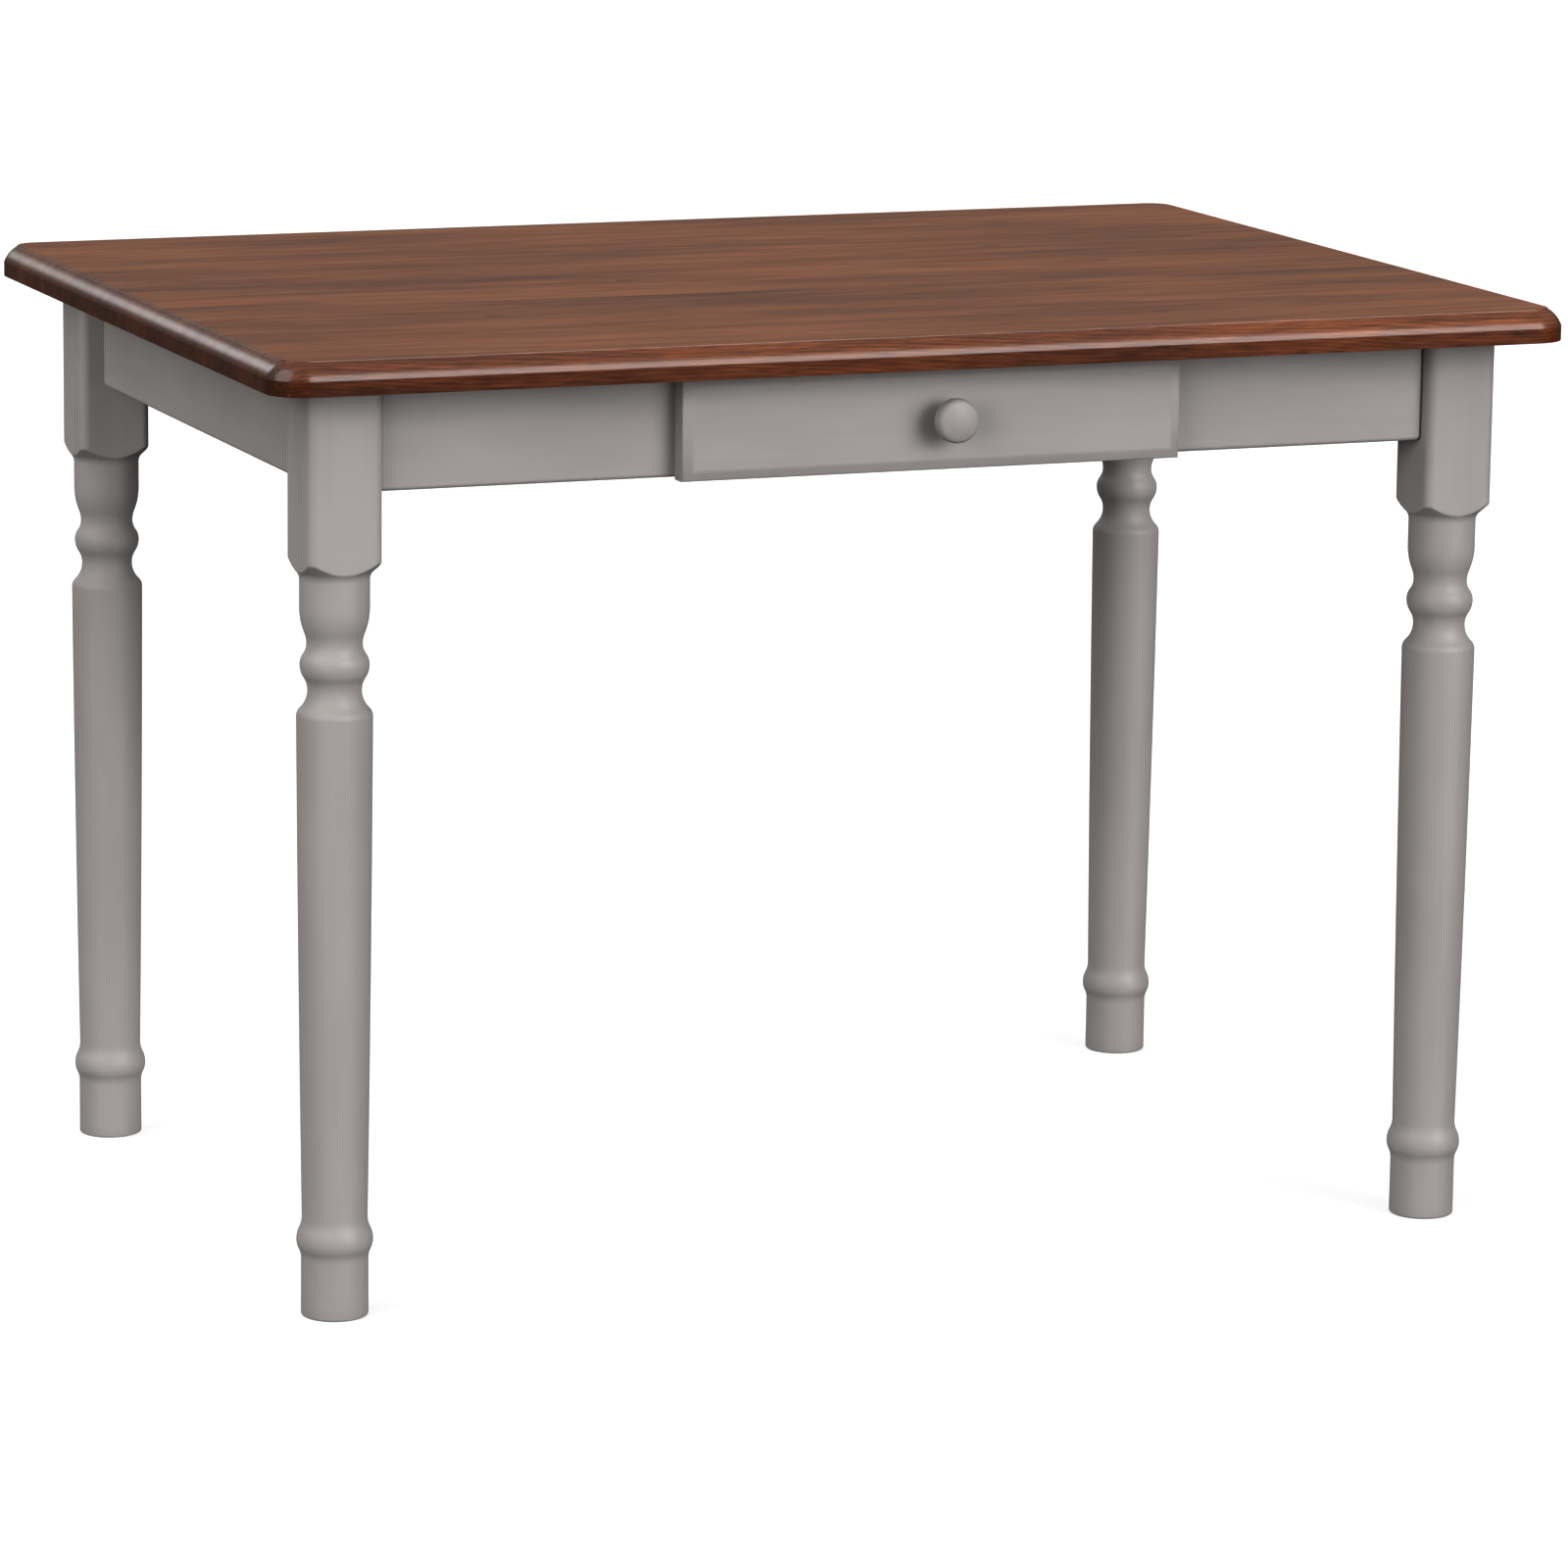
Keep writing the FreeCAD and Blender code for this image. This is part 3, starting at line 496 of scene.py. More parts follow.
def plan(half_x, half_y, corner):
    """Points of a rectangle with round corners, going round once."""
    made = []
    for turn, (sx, sy) in enumerate(((1, 1), (-1, 1), (-1, -1), (1, -1))):
        for n in range(corner_steps + 1):
            angle = (turn + n / corner_steps) * pi / 2
            made.append((sx * (half_x - corner) + corner * cos(angle),
                         sy * (half_y - corner) + corner * sin(angle)))
    return made


def edge_outline(thickness):
    """The edge from the underside to the face, as (inset, height) points."""
    arris = (0.0, band_height)
    step = (round_width, thickness - step_height)
    moulding = bowed(arris, step, -round_bulge, 12)
    lip = (round_width, thickness)
    points = [(6 * MM, 0.0), (0.0, 0.0), *moulding, lip, (round_width + 6 * MM, thickness)]
    return eased(points, edge_ease)


def moulded_top():
    low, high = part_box("table_top")
    mesh = bmesh.new()
    rings = []
    for inset, height in edge_outline(high.z - low.z):
        points = plan(high.x - inset, high.y - inset, plan_corner - inset)
        rings.append([mesh.verts.new((x, y, low.z + height)) for x, y in points])
    join_rings(mesh, rings)
    mesh.faces.new(rings[0][::-1])
    mesh.faces.new(rings[-1])
    return thing("moulded_top", mesh, top_finish)


top = moulded_top()
keep_flats(top)
seat(top, "table_top")
print("top:", faces_of(top), "faces")

# %% [markdown]
# ## The legs
# A leg starts as a square blank. The turner leaves a square block where the aprons meet it, and
# below it cuts a vase, a ring, a long taper and a bead. Where the round cove runs out through the
# square block it leaves four scallops.
#
# The form follows a rule, so Geometry Nodes make it: a stack of points carries the radius of each
# ring, Curve to Mesh sweeps a circle along it, and Set Position moves each point. In the turned
# part that is the ring's radius. In the head the tree works out how far the square block reaches
# in the point's own direction, and how high the cove has risen when it gets there. The mesh then
# follows the scallops exactly, which a boolean of a square and a cone would only do roughly.

# %% The turning
foot_radius = 26.3 * MM
foot_round = 2.0 * MM
foot_height = 46.0 * MM
bead_radius = 29.9 * MM
bead_below = 15.0 * MM
bead_above = 18.2 * MM
ankle_radius = 25.65 * MM
shaft_radius = 29.6 * MM
shaft_swell = 0.42 * MM
shaft_shoulder = 20.3 * MM
shoulder_share = 0.3
throat_radius = 21.0 * MM
ring_below = 20.0 * MM
ring_radius = 26.95 * MM
ring_above = 16.1 * MM
neck_radius = 21.7 * MM
vase_shoulder = 28.6 * MM
vase_hollow = 0.3
vase_radius = 27.2 * MM
vase_straight = 21.5 * MM
block_height = 152.5 * MM
block_round = 7.5 * MM
cove_radius = 9.3 * MM
cove_lean = radians(48.0)
scallop_ease = 1.3 * MM
leg_sides = 192


def turning(cove_foot):
    """The leg's outline from the floor to the foot of the cove, as (radius, height) points."""
    vase_top = cove_foot - vase_straight
    neck = vase_top - vase_shoulder
    ring = neck - ring_above
    throat = ring - ring_below
    shaft_top = throat - shaft_shoulder
    bead = foot_height + bead_below
    ankle = bead + bead_above
    parts = [
        quarter((foot_radius, foot_round), (foot_radius - foot_round, 0.0), 4)[::-1],
        [(foot_radius, foot_height * n / 4) for n in (1, 2, 3)],
        ogee((foot_radius, foot_height), (bead_radius, bead)),
        ogee((bead_radius, bead), (ankle_radius, ankle)),
        bowed((ankle_radius, ankle), (shaft_radius, shaft_top), shaft_swell, 24),
        ogee((shaft_radius, shaft_top), (throat_radius, throat), shoulder_share),
        ogee((throat_radius, throat), (ring_radius, ring)),
        ogee((ring_radius, ring), (neck_radius, neck)),
        ogee((neck_radius, neck), (vase_radius, vase_top), vase_hollow),
        [(vase_radius, vase_top + vase_straight * n / 3) for n in (1, 2, 3)],
    ]
    made = []
    for point in [point for part in parts for point in part]:
        if not made or point[1] - made[-1][1] > 0.01 * MM:
            made.append(point)
    return made


# %% The stack of rings that the tree works on
def ring_stack(cove_foot, block_top):
    """A line of points up the leg's axis. Each carries what the tree needs to know of its ring."""
    rings = [(height, radius, 0.0, 0.0, 0.0, 0.0) for radius, height in turning(cove_foot)]
    cove_steps = 18
    arris_steps = 6
    heads = [((n / cove_steps) ** 2, 0.0, 0.0) for n in range(1, cove_steps + 1)]
    heads += [(1.0, n / arris_steps, 0.0) for n in range(1, arris_steps + 1)]
    heads += [(1.0, 1.0, share) for share in (0.012, 0.08, 0.5, 0.97, 1.0)]
    for n, shares in enumerate(heads):
        height = cove_foot + (block_top - cove_foot) * (n + 1) / len(heads)
        rings.append((height, 0.0, 1.0, *shares))
    data = bpy.data.meshes.new("ring_stack")
    links = [(n, n + 1) for n in range(len(rings) - 1)]
    data.from_pydata([(0, 0, ring[0]) for ring in rings], links, [])
    names = ("turned_radius", "in_head", "cove_share", "arris_share", "block_share")
    for column, name in enumerate(names, 1):
        values = data.attributes.new(name, "FLOAT", "POINT").data
        values.foreach_set("value", [ring[column] for ring in rings])
    return data


# %% The leg's tree
def new_tree(name, inputs):
    """An empty Geometry Nodes tree with its inputs, and the outputs that they arrive on."""
    tree = bpy.data.node_groups.new(name, "GeometryNodeTree")
    tree.interface.new_socket("Geometry", in_out="OUTPUT", socket_type="NodeSocketGeometry")
    for label, kind in inputs.items():
        tree.interface.new_socket(label, in_out="INPUT", socket_type="NodeSocket" + kind)
    return tree, put(tree, "NodeGroupInput")


def carried(tree, name, kind="FLOAT"):
    """The value that each point carries under a name."""
    return put(tree, "GeometryNodeInputNamedAttribute", {"Name": name}, data_type=kind)


def finish_tree(tree, shape, material):
    """Every tree ends the same way: plain geometry with its material, sent to the output."""
    real = shape.into("GeometryNodeRealizeInstances")
    done = real.into("GeometryNodeSetMaterial", {"Material": material})
    feed(tree.nodes.new("NodeGroupOutput"), {0: done})


def block_reach(given, widest, least):
    """How far the rounded square reaches, where widest and least are the direction's two shares."""
    half = given["Block Half"]
    corner = given["Block Round"]
    flat_half = half - corner
    on_flat = half / widest
    along = flat_half * (widest + least)
    under_root = along ** 2 - (flat_half ** 2 * 2 - corner ** 2)
    on_corner = along + under_root.math("MAXIMUM", 0.0).math("SQRT")
    return choose((on_flat * least).math("LESS_THAN", flat_half), on_corner, on_flat)


def cove_rise(given, out):
    """How far the cove, and the slope that follows it, has risen when it is this far out, and its lean."""
    radius = given["Cove Radius"]
    on_arc = out.math("MINIMUM", given["Cove Depth"])
    arc_rise = (on_arc * (radius * 2 - on_arc)).math("SQRT")
    slope = (out - on_arc) / given["Cove Lean"].math("TANGENT")
    return arc_rise + slope, arc_rise / radius, 1.0 - on_arc / radius


def leg_tree():
    numbers = ("Block Half", "Block Round", "Vase Radius", "Cove Foot", "Cove Radius", "Cove Depth",
               "Cove Lean", "Ease", "Block Top")
    tree, given = new_tree("Turned leg", {
        "Geometry": "Geometry", "Sides": "Int", **dict.fromkeys(numbers, "Float"), "Place": "Vector",
        "Paint": "Material"})
    circle = put(tree, "GeometryNodeCurvePrimitiveCircle", {"Resolution": given["Sides"], "Radius": 1.0})
    axis = given["Geometry"].into("GeometryNodeMeshToCurve")
    tube = axis.into("GeometryNodeCurveToMesh", {"Profile Curve": circle, "Fill Caps": True})
    # The sweep has a radius of 1, so x and y are the two shares of the point's direction.
    at = put(tree, "GeometryNodeInputPosition").into("ShaderNodeSeparateXYZ")
    shares = (abs(at["X"]), abs(at["Y"]))
    reach = block_reach(given, shares[0].math("MAXIMUM", shares[1]), shares[0].math("MINIMUM", shares[1]))
    vase = given["Vase Radius"]
    ease = given["Ease"]
    rise, lean_across, lean_up = cove_rise(given, reach - vase)
    # Where the cove meets the block: the arris, eased by a short curve from t = 0 to t = 1.
    arris_height = given["Cove Foot"] + rise
    arris_share = carried(tree, "arris_share")
    back = (1.0 - arris_share) ** 2 * ease
    rest = given["Block Top"] - arris_height - ease
    up = arris_share ** 2 * ease + carried(tree, "block_share") * rest
    block_out = reach - back * lean_across
    block_up = arris_height - back * lean_up + up
    # Below the arris the point lies on the cove, a share of the way out to it.
    cove_share = carried(tree, "cove_share")
    cove_out = cove_share * (reach - ease * lean_across - vase)
    cove_up = given["Cove Foot"] + cove_rise(given, cove_out)[0]
    is_cove = cove_share.math("LESS_THAN", 1.0)
    in_head = carried(tree, "in_head")
    out = choose(in_head, carried(tree, "turned_radius"), choose(is_cove, block_out, cove_out + vase))
    height = choose(in_head, at["Z"], choose(is_cove, block_up, cove_up))
    moved = put(tree, "ShaderNodeCombineXYZ", {0: at["X"] * out, 1: at["Y"] * out, 2: height})
    placed = moved.vector_math("ADD", given["Place"])
    finish_tree(tree, tube.into("GeometryNodeSetPosition", {"Position": placed}), given["Paint"])
    return tree


# %% [markdown]
# A modifier runs a tree on an object. Its result is then made into a plain mesh and the modifier
# is taken off, because the finished piece has to stay what it is when the scene is exported.

# %% From a tree to a plain piece
def grown(name, data, tree, values):
    """The plain piece that a tree makes from some starting geometry."""
    made = add_object(name, data)
    modifier = made.modifiers.new("Rule", "NODES")
    modifier.node_group = tree
    for label, value in values.items():
        modifier[tree.interface.items_tree[label].identifier] = value
    depsgraph = bpy.context.evaluated_depsgraph_get()
    plain = bpy.data.meshes.new_from_object(made.evaluated_get(depsgraph), depsgraph=depsgraph)
    made.modifiers.clear()
    made.data = plain
    ends = ("_share", "_radius", "in_head", "way")
    for used in [attribute.name for attribute in plain.attributes if attribute.name.endswith(ends)]:
        plain.attributes.remove(plain.attributes[used])
    smooth(plain)
    return made


# %% Four legs
turn_leg = leg_tree()
for corner, (sx, sy) in corners.items():
    low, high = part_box("leg_" + corner)
    block_half = (high.x - low.x) / 2
    cove_foot = high.z - block_height
    leg = grown("turned_leg_" + corner, ring_stack(cove_foot, high.z), turn_leg, {
        "Sides": leg_sides, "Block Half": block_half, "Block Round": block_round,
        "Vase Radius": vase_radius, "Cove Foot": cove_foot, "Cove Radius": cove_radius,
        "Cove Depth": cove_radius * (1 - cos(cove_lean)), "Cove Lean": cove_lean, "Ease": scallop_ease,
        "Block Top": high.z, "Place": ((low.x + high.x) / 2, (low.y + high.y) / 2, 0.0),
        "Paint": paint_along["Z"]})
    seat(leg, "leg_" + corner)
print("legs:", faces_of(leg), "faces each, block", round(2 * block_half / MM, 1), "mm")

# %% [markdown]
# ## Boards
# Aprons, drawer parts, runners and blocks are flat boards, and the CAD already has their joints
# and cut-outs. What it lacks is the softness of the long edges, which catch a line of light. So
# each board is a copy of the CAD mesh: its loose triangles are merged, flat areas are made whole
# again, and only the long edges get a small round. Weighted normals keep the flats flat.

# %% Boards with eased edges
def board(node, material, ease, shortest=20 * MM, least=20.0, segments=3):
    """A copy of a CAD board with its long edges rounded."""
    mesh = bmesh.new()
    mesh.from_mesh(frame["nodes"][node].data)
    bmesh.ops.remove_doubles(mesh, verts=mesh.verts, dist=0.005 * MM)
    bmesh.ops.dissolve_limit(mesh, angle_limit=radians(1), verts=mesh.verts, edges=mesh.edges)
    edges = [edge for edge in mesh.edges if len(edge.link_faces) == 2
             and edge.calc_length() > shortest and edge.calc_face_angle() > radians(least)]
    bmesh.ops.bevel(mesh, geom=edges, offset=ease, segments=segments, profile=0.5, affect="EDGES",
                    clamp_overlap=True)
    made = thing("eased_" + node, mesh, material)
    keep_flats(made)
    seat(made, node)
    return made


aprons = {"front_apron": "X", "back_apron": "X", "left_apron": "Y", "right_apron": "Y"}
for node, along in aprons.items():
    made = board(node, paint_along[along], 2.0 * MM)
    print(node, faces_of(made), "faces")

# %% [markdown]
# ### The drawer
# The drawer is a dovetailed pine box with a painted front screwed on to it. The front has a wide
# flat bevel all round, mitred at the corners, and paint and sandpaper have softened its edges.

# %% The drawer's boards
board("drawer_front", paint_along["X"], 1.6 * MM)
for node, along in {"drawer_subfront": "X", "drawer_back": "X", "drawer_side_left": "Y",
                    "drawer_side_right": "Y"}.items():
    made = board(node, pine_along[along], 0.7 * MM)
    print(node, faces_of(made), "faces")
board("drawer_bottom", plywood, 0.3 * MM)

# %% [markdown]
# ### Hidden structure
# Runners, kickers, corner blocks and buttons are bare wood, cut and screwed in place.

# %% Runners, kickers, blocks and buttons
for hand in ("left", "right"):
    board("runner_" + hand, pine_along["Y"], 0.7 * MM)
    board("kicker_" + hand, pine_along["Y"], 0.7 * MM)
for corner in corners:
    board("corner_block_" + corner, pine_along["Z"], 1.0 * MM)
buttons = [node for node in frame["nodes"] if node.startswith("top_button_")] + ["stop_button"]
for node in buttons:
    board(node, beech, 0.8 * MM, 6 * MM)
print("buttons:", len(buttons))

# %% [markdown]
# ### The knob
# The knob is turned like the legs, about an axis that points out of the drawer. A lathe is the
# right tool for it: an outline, spun in steps, with its two poles closed.

# %% The knob
def spun(name, outline, place, axis, material, sides=96):
    """An outline of (radius, height) points turned about an axis through a place."""
    mesh = bmesh.new()
    join_rings(mesh, [circle_of(mesh, radius, height, sides) for radius, height in outline])
    turn = Vector((0, 0, 1)).rotation_difference(Vector(axis)).to_matrix().to_4x4()
    mesh.transform(Matrix.Translation(place) @ turn)
    bmesh.ops.remove_doubles(mesh, verts=mesh.verts, dist=0.001 * MM)
    return thing(name, mesh, material)


knob_dome = 3.0 * MM
shoulder_width = 3.2 * MM
shoulder_height = 5.0 * MM
rim_height = 5.0 * MM
rim_round = 1.5 * MM
waist_height = 5.0 * MM
knob_foot_radius = 11.0 * MM
knob_foot_height = 2.0 * MM
knob_neck_radius = 8.0 * MM


def knob_outline(radius, length):
    """From the middle of the knob's foot to the middle of its domed face."""
    face_edge = radius - shoulder_width
    shoulder_high = length - knob_dome
    shoulder_low = shoulder_high - shoulder_height
    rim_low = shoulder_low - rim_height
    head_low = rim_low - rim_round
    waist = knob_foot_height + waist_height
    flare = (radius + knob_neck_radius) / 2
    ball = (face_edge ** 2 + knob_dome ** 2) / (2 * knob_dome)
    turn = acos(1 - knob_dome / ball)
    dome = [(ball * sin(turn * n / 12), length - ball * (1 - cos(turn * n / 12))) for n in range(12, -1, -1)]
    return [(0.0, 0.0), (knob_foot_radius, 0.0),
            *quarter((knob_neck_radius, waist), (knob_foot_radius, knob_foot_height), 6)[::-1],
            *quarter((knob_neck_radius, waist), (flare, head_low), 6)[1:],
            *quarter((radius, rim_low), (radius - rim_round, head_low), 5)[::-1],
            *quarter((radius, shoulder_low), (face_edge, shoulder_high), 10), *dome[1:]]


low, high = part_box("drawer_knob")
knob_place = ((low.x + high.x) / 2, high.y, (low.z + high.z) / 2)
outline = eased(knob_outline((high.z - low.z) / 2, high.y - low.y), 0.8 * MM)
knob = spun("turned_knob", outline, knob_place, (0, -1, 0), paint_along["Y"])
seat(knob, "drawer_knob")
print("knob:", faces_of(knob), "faces, at", [round(v / MM, 1) for v in knob_place])

# %% [markdown]
# ## Screws and bolts
# A table like this has dozens of the same few fasteners. Each kind is modelled once, lying along
# +Z from its head or its inner end. Geometry Nodes then set one on every point and turn it the
# way that the point says. The points are measured from the CAD's own screws, and each screw is
# turned by a random angle with a fixed seed, because nobody lines up their cross slots.

# %% Where the CAD's fasteners are
def solids_of(node):
    """The separate solids of a CAD node, each as an array of points."""
    mesh = bmesh.new()
    mesh.from_mesh(frame["nodes"][node].data)
    bmesh.ops.remove_doubles(mesh, verts=mesh.verts, dist=0.001 * MM)
    left = set(mesh.verts)
    found = []
    while left:
        todo = [left.pop()]
        group = []
        while todo:
            vert = todo.pop()
            group.append(vert.co.copy())
            near = {edge.other_vert(vert) for edge in vert.link_edges} & left
            left -= near
            todo += near
        found.append(np.array(group))
    mesh.free()
    return sorted(found, key=lambda points: tuple(points.mean(axis=0).round(4)))


def screw_seat(points):
    """The middle of a screw's head, the way it points, and its length."""
    axis = int(np.argmax(np.ptp(points, axis=0)))
    low, high = points[:, axis].min(), points[:, axis].max()
    at_low = points[points[:, axis] < low + 0.01 * MM]
    at_high = points[points[:, axis] > high - 0.01 * MM]
    head_is_low = np.ptp(at_low, axis=0).max() > np.ptp(at_high, axis=0).max()
    head = at_low if head_is_low else at_high
    way = Vector((0, 0, 0))
    way[axis] = 1.0 if head_is_low else -1.0
    middle = (head.min(axis=0) + head.max(axis=0)) / 2
    return Vector(middle), way, high - low


# %% One screw, one bolt, one washer, one nut
fastener_sides = 24
tip_taper = 4.0 * MM
thread_length = 24.0 * MM
bolt_pitch = 1.25 * MM


def cross_of(mesh, reach, half, height):
    """The outline of a cross slot."""
    quadrant = ((reach, half), (half, half), (half, reach))
    made = []
    for turn in range(4):
        spin = Matrix.Rotation(turn * pi / 2, 2)
        made += [mesh.verts.new((*(spin @ Vector(point)), height)) for point in quadrant]
    return made


def screw(radius, head_radius, length):
    """A countersunk screw with a cross slot, its head at the origin and its tip at +Z."""
    mesh = bmesh.new()
    head = head_radius - radius
    pitch = radius * 0.9
    rings = [(head_radius, 0.0), (head_radius, 0.08 * head_radius), (radius, head)]
    height = head + length * 0.25
    while height < length - 2 * pitch:
        rings += [(radius * 0.78, height), (radius, height + pitch / 2)]
        height += pitch
    rings = [circle_of(mesh, *ring, fastener_sides) for ring in (*rings, (radius * 0.15, length))]
    join_rings(mesh, rings)
    mesh.faces.new(rings[-1])
    slot = cross_of(mesh, head_radius * 0.55, head_radius * 0.11, 0.0)
    floor = cross_of(mesh, head_radius * 0.28, head_radius * 0.07, head_radius * 0.45)
    join_rings(mesh, [floor, slot])
    mesh.faces.new(floor)
    edges = [mesh.edges.get((loop[n], loop[n - 1])) or mesh.edges.new((loop[n], loop[n - 1]))
             for loop in (rings[0], slot) for n in range(len(loop))]
    bmesh.ops.triangle_fill(mesh, edges=edges, use_beauty=True, normal=(0, 0, -1))
    return mesh


def hanger_bolt(radius, length):
    """A bolt with a machine thread on the end that takes the nut."""
    mesh = bmesh.new()
    rings = [(radius * 0.6, 0.0), (radius, tip_taper)]
    height = length - thread_length
    while height < length - bolt_pitch:
        rings += [(radius, height), (radius * 0.86, height + bolt_pitch / 2)]
        height += bolt_pitch
    rings = [circle_of(mesh, *ring, fastener_sides) for ring in (*rings, (radius * 0.8, length))]
    join_rings(mesh, rings)
    mesh.faces.new(rings[0][::-1])
    mesh.faces.new(rings[-1])
    return mesh


def collar(outer, inner, thickness, sides, chamfer):
    """A washer, or with six sides a nut, whose outer corners are turned down by a chamfer."""
    mesh = bmesh.new()
    cut = outer if sides > 6 else outer * cos(pi / 6) + chamfer

    def outline(limit, height):
        ring = []
        for n in range(fastener_sides):
            angle = 2 * pi * n / fastener_sides
            off = (angle + pi / sides) % (2 * pi / sides) - pi / sides
            flat = outer * cos(pi / 6) / cos(off - copysign(pi / 6, off)) if sides == 6 else outer
            radius = min(flat, limit)
            ring.append(mesh.verts.new((radius * cos(angle), radius * sin(angle), height)))
        return ring

    rings = [circle_of(mesh, inner, 0.0, fastener_sides), outline(cut - chamfer, 0.0),
             outline(cut * 2, chamfer), outline(cut * 2, thickness - chamfer),
             outline(cut - chamfer, thickness), circle_of(mesh, inner, thickness, fastener_sides)]
    join_rings(mesh, rings + rings[:1])
    return mesh


# %% Setting the fasteners
def setting_tree():
    tree, given = new_tree("Set fasteners", {
        "Geometry": "Geometry", "Fastener": "Object", "Turn Seed": "Int", "Metal": "Material"})
    shape = given["Fastener"].into("GeometryNodeObjectInfo")["Geometry"]
    way = carried(tree, "way", "FLOAT_VECTOR")
    facing = put(tree, "FunctionNodeAlignRotationToVector", {"Vector": way}, axis="Z")
    points = given["Geometry"].into("GeometryNodeMeshToPoints")
    placed = points.into("GeometryNodeInstanceOnPoints", {"Instance": shape, "Rotation": facing})
    turns = {"Min": 0.0, "Max": 2 * pi, "Seed": given["Turn Seed"]}
    angle = put(tree, "FunctionNodeRandomValue", turns, data_type="FLOAT")["Value"]
    spin = put(tree, "ShaderNodeCombineXYZ", {2: angle})
    turned = placed.into("GeometryNodeRotateInstances", {"Rotation": spin, "Local Space": True})
    finish_tree(tree, turned, given["Metal"])
    return tree


set_fasteners = setting_tree()


def fasten(node, shape, places, seed):
    """One fastener on every place, as one piece that stands for the CAD node."""
    model = thing("model", shape)
    data = bpy.data.meshes.new("places")
    data.from_pydata([place for place, way in places], [], [])
    data.attributes.new("way", "FLOAT_VECTOR", "POINT").data.foreach_set(
        "vector", [value for place, way in places for value in way])
    made = grown("set_" + node, data, set_fasteners, {"Fastener": model, "Turn Seed": seed, "Metal": zinc})
    bpy.data.objects.remove(model)
    seat(made, node)
    print(node + ":", len(places), "set,", faces_of(made), "faces")


# The radius of each kind's shank and of its head, in millimetres.
screws = {"corner_block_screws": (2.0, 4.0), "drawer_front_screws": (2.0, 4.0), "top_screws": (2.0, 4.0),
          "drawer_bottom_screws": (1.5, 3.0)}
for seed, (node, (radius, head)) in enumerate(screws.items()):
    seats = [screw_seat(points) for points in solids_of(node)]
    length = min(seat_length for place, way, seat_length in seats)
    fasten(node, screw(radius * MM, head * MM, length), [(place, way) for place, way, _ in seats], seed)

# %% [markdown]
# Each leg is pulled into its corner by two hanger bolts through the corner block, and there the
# washers and nuts show. They all point along the table's diagonals at 45 degrees.

# %% Corner bolts
bolt_radius = 4.0 * MM
hole_radius = 4.1 * MM
washer_radius = 10.0 * MM
nut_flats = 13.0 * MM


def along_corner(node):
    """The outer end of each solid with the way inwards, at 45 degrees, and the length that way."""
    places = []
    lengths = []
    for points in solids_of(node):
        middle = Vector(points.mean(axis=0))
        way = Vector((-copysign(1, middle.x), -copysign(1, middle.y), 0)).normalized()
        heights = points @ np.array(way)
        places.append((middle + way * (heights.min() - middle.dot(way)), way))
        lengths.append(float(np.ptp(heights)))
    return places, lengths[0]


places, length = along_corner("hanger_bolts")
fasten("hanger_bolts", hanger_bolt(bolt_radius, length), places, 11)
places, length = along_corner("bolt_washers")
fasten("bolt_washers", collar(washer_radius, hole_radius, length, 24, 0.3 * MM), places, 12)
places, length = along_corner("bolt_nuts")
fasten("bolt_nuts", collar(nut_flats / sqrt(3), hole_radius, length, 6, 0.6 * MM), places, 13)

# %% [markdown]
# The dowels are buried in their joints, and two machine-made screws hold the knob and the stop
# button. The CAD shape of these is right, so they only get their finish.

# %% Pieces that stay as they are
for node, finish in {"apron_dowels": beech, "runner_dowels": beech, "knob_screw": zinc,
                     "stop_button_screw": zinc}.items():
    slots = frame["nodes"][node].data.materials
    slots.clear()
    slots.append(finish)

# %% [markdown]
# ## The studio
# The table stands on a pale floor before a white backdrop. The floor glows, so that it is as white
# as the backdrop and only the faintest shadow shows, and the light that it would throw up at the
# table comes from the dome's lower half instead, where it can be set. The lights are large and
# far away: two in front for the fronts, two from the left for that end and the face, and a weak one
# behind for the back. A sheen light adds nothing but the line of shine along the front moulding, and
# low behind the table stands a small round window, which the lacquer of the left end mirrors. The
# lens is long and stands well back, so that the table's lines hardly draw together.

# %% Floor and lights
def studio_floor():
    made, tree, shader = surface("studio_floor")
    place = put(tree, "ShaderNodeTexCoord")["Object"]
    cloud = place.into("ShaderNodeTexNoise", {"Scale": 1.5, "Detail": 2.0})
    feed(shader, {"Base Color": blend_colours(cloud, (0.36, 0.36, 0.36, 1), (0.4, 0.4, 0.4, 1)),
                  "Emission Color": white, "Emission Strength": 0.7,
                  "Roughness": 0.9, "Specular IOR Level": 0.1})
    # Seen from below the floor is clear, so that the underside of the table can be looked at.
    under = put(tree, "ShaderNodeNewGeometry")["Backfacing"]
    clear = put(tree, "ShaderNodeBsdfTransparent")
    both = under.into("ShaderNodeMixShader", {1: shader.outputs[0], 2: clear})
    feed(tree.nodes["Material Output"], {"Surface": both})
    mesh = bmesh.new()
    bmesh.ops.create_grid(mesh, x_segments=2, y_segments=2, size=60.0)
    floor = thing("floor", mesh, made)
    floor.visible_glossy = False
    floor.visible_diffuse = False


def towards(azimuth, elevation):
    """A direction, from degrees; the azimuth turns from straight in front towards the right."""
    turn, lift = radians(azimuth), radians(elevation)
    return Vector((sin(turn) * cos(lift), -cos(turn) * cos(lift), sin(lift)))


window_way = towards(-165, 19)
window_width = radians(9)


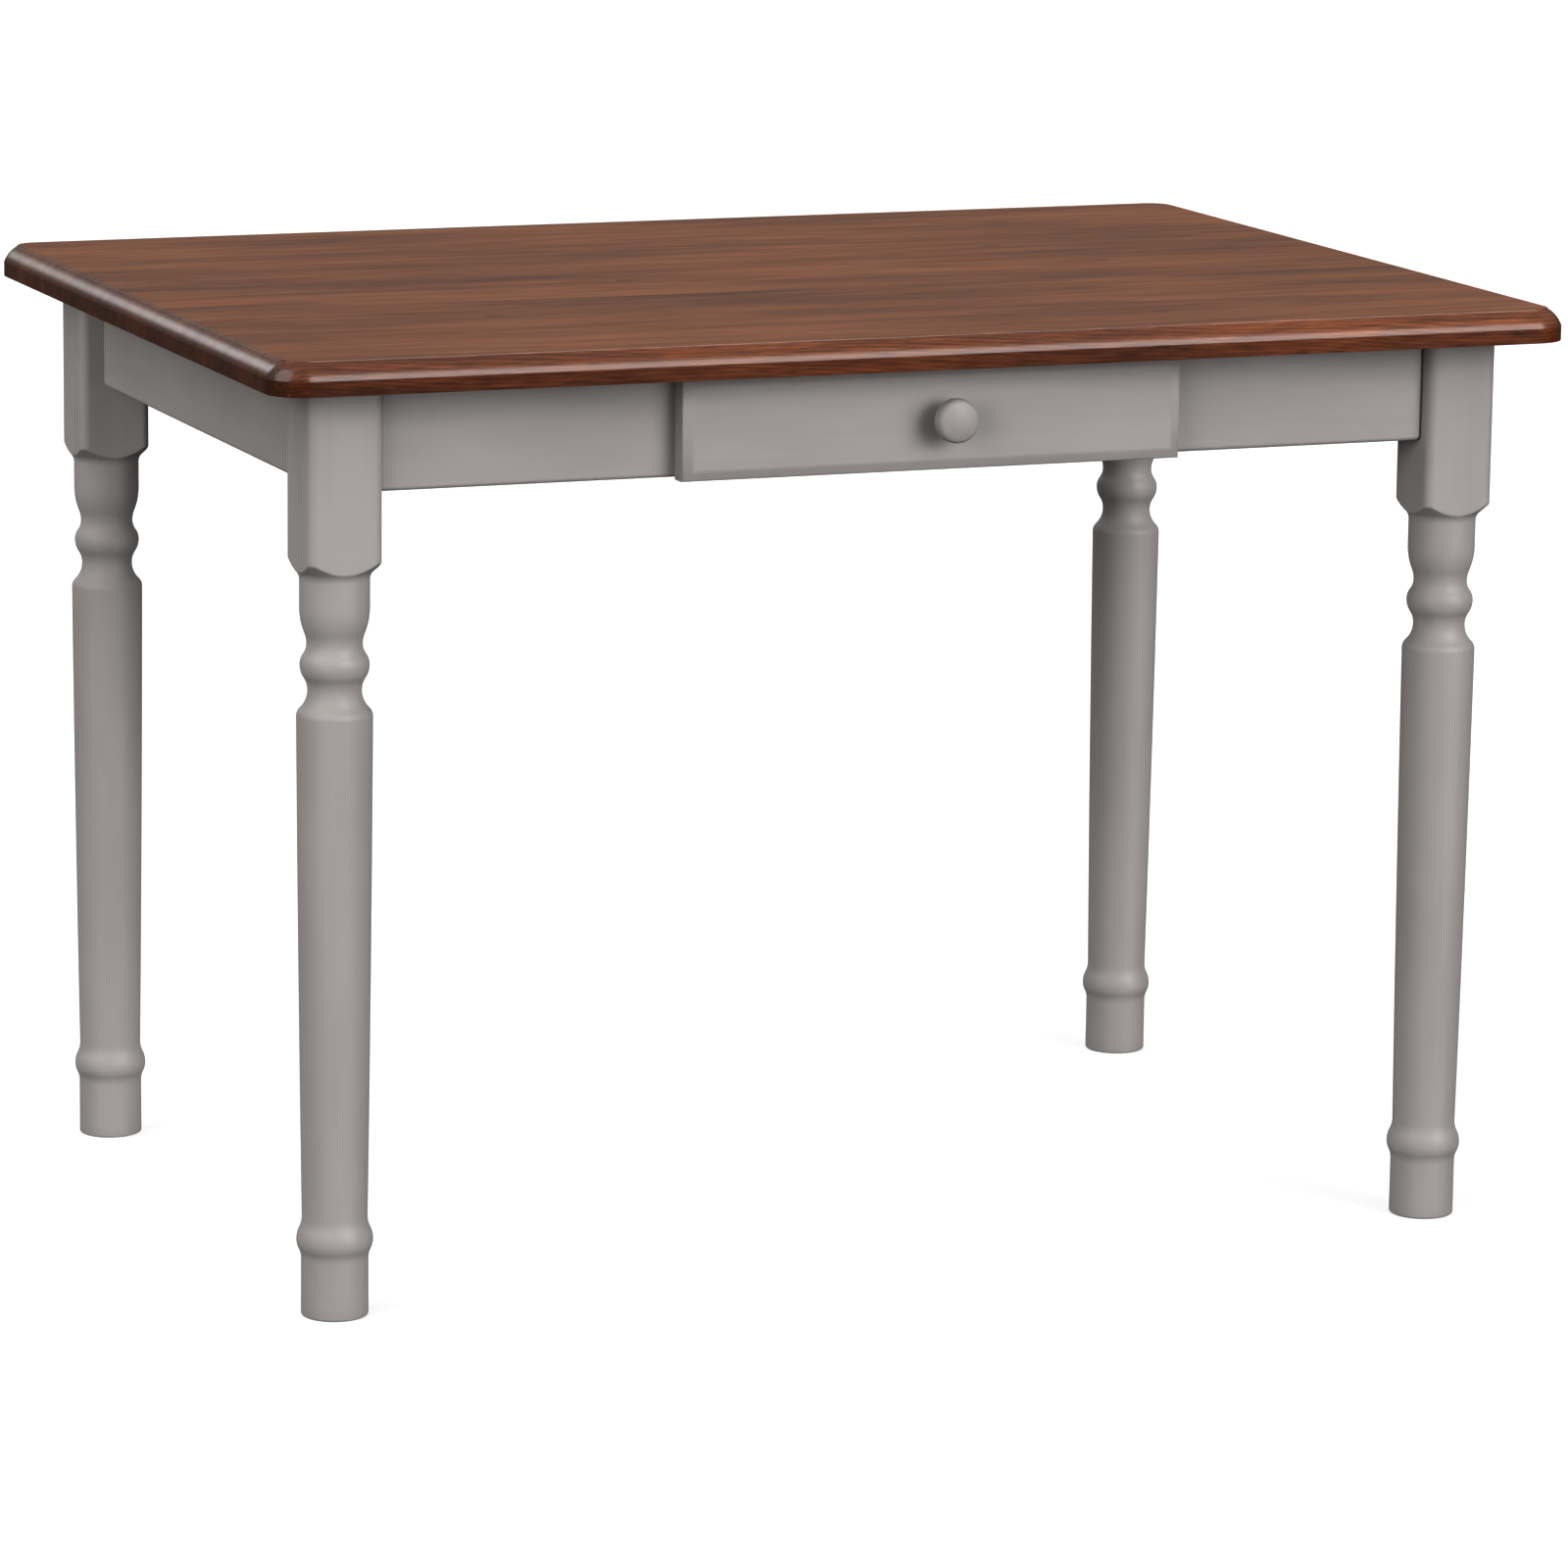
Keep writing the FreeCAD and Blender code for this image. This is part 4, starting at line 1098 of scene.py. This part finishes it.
def dome(at_horizon, overhead, below, window):
    """Light from all round and from a round window low behind the table; the lens sees only white."""
    world = bpy.data.worlds.new("studio")
    bpy.context.scene.world = world
    world.use_nodes = True
    tree = world.node_tree
    way = put(tree, "ShaderNodeTexCoord")["Generated"]
    up = way.into("ShaderNodeSeparateXYZ")["Z"]
    middle = way.vector_math("DOT_PRODUCT", window_way)["Value"]
    in_window = spread(middle, cos(window_width), cos(window_width / 3))
    sky = in_window * window + choose(up, at_horizon, overhead)
    light = choose(spread(up, -0.03, 0.03), below, sky)
    seen = put(tree, "ShaderNodeLightPath")["Is Camera Ray"]
    feed(tree.nodes["Background"], {"Strength": choose(seen, light, 1.0), "Color": white})


def broad_light(name, azimuth, elevation, width, strength, lights=True, shines=True):
    """A distant soft light, its angles in degrees. It may leave out its diffuse light or its shine."""
    light = bpy.data.lights.new(name, "SUN")
    light.angle = radians(width)
    light.energy = strength
    made = add_object(name, light)
    made.rotation_euler = towards(azimuth, elevation).to_track_quat("Z", "Y").to_euler()
    made.visible_diffuse = lights
    made.visible_glossy = shines


studio_floor()
dome(at_horizon=0.05, overhead=0.65, below=0.08, window=3.1)
broad_light("key", 32, 5, 44, 3.45, shines=False)
broad_light("front", 25, 26, 34, 1.0, shines=False)
broad_light("sheen", 25, 33, 34, 1.6, lights=False)
broad_light("left", -60, 8, 40, 2.6, shines=False)
broad_light("side", -90, 40, 50, 1.4)
broad_light("back", 165, 12, 60, 1.3, shines=False)

# %% The camera
camera_place = (-2.14288, -5.37988, 1.50122)
camera_yaw = 21.928
camera_down = 11.406
camera_roll = 0.721
picture_size = 1600
focal_pixels = 7220.1
sensor = 36.0


def long_lens():
    """The camera, whose yaw, tilt down and roll are given in degrees."""
    forward = -towards(-camera_yaw, camera_down)
    level = -towards(-camera_yaw - 90, 0)
    upright = level.cross(forward)
    roll = radians(camera_roll)
    right = level * cos(roll) + upright * sin(roll)
    up = upright * cos(roll) - level * sin(roll)
    lens = bpy.data.cameras.new("camera")
    lens.sensor_width = sensor
    lens.lens = sensor * focal_pixels / picture_size
    lens.clip_end = 200
    made = add_object("camera", lens)
    axes = Matrix((right, up, -forward)).transposed().to_4x4()
    made.matrix_world = Matrix.Translation(camera_place) @ axes
    bpy.context.scene.camera = made
    return lens


lens = long_lens()
bpy.context.scene.view_settings.view_transform = "Standard"
bpy.context.scene.view_settings.gamma = 0.8
print("camera: lens", round(lens.lens, 1), "mm")
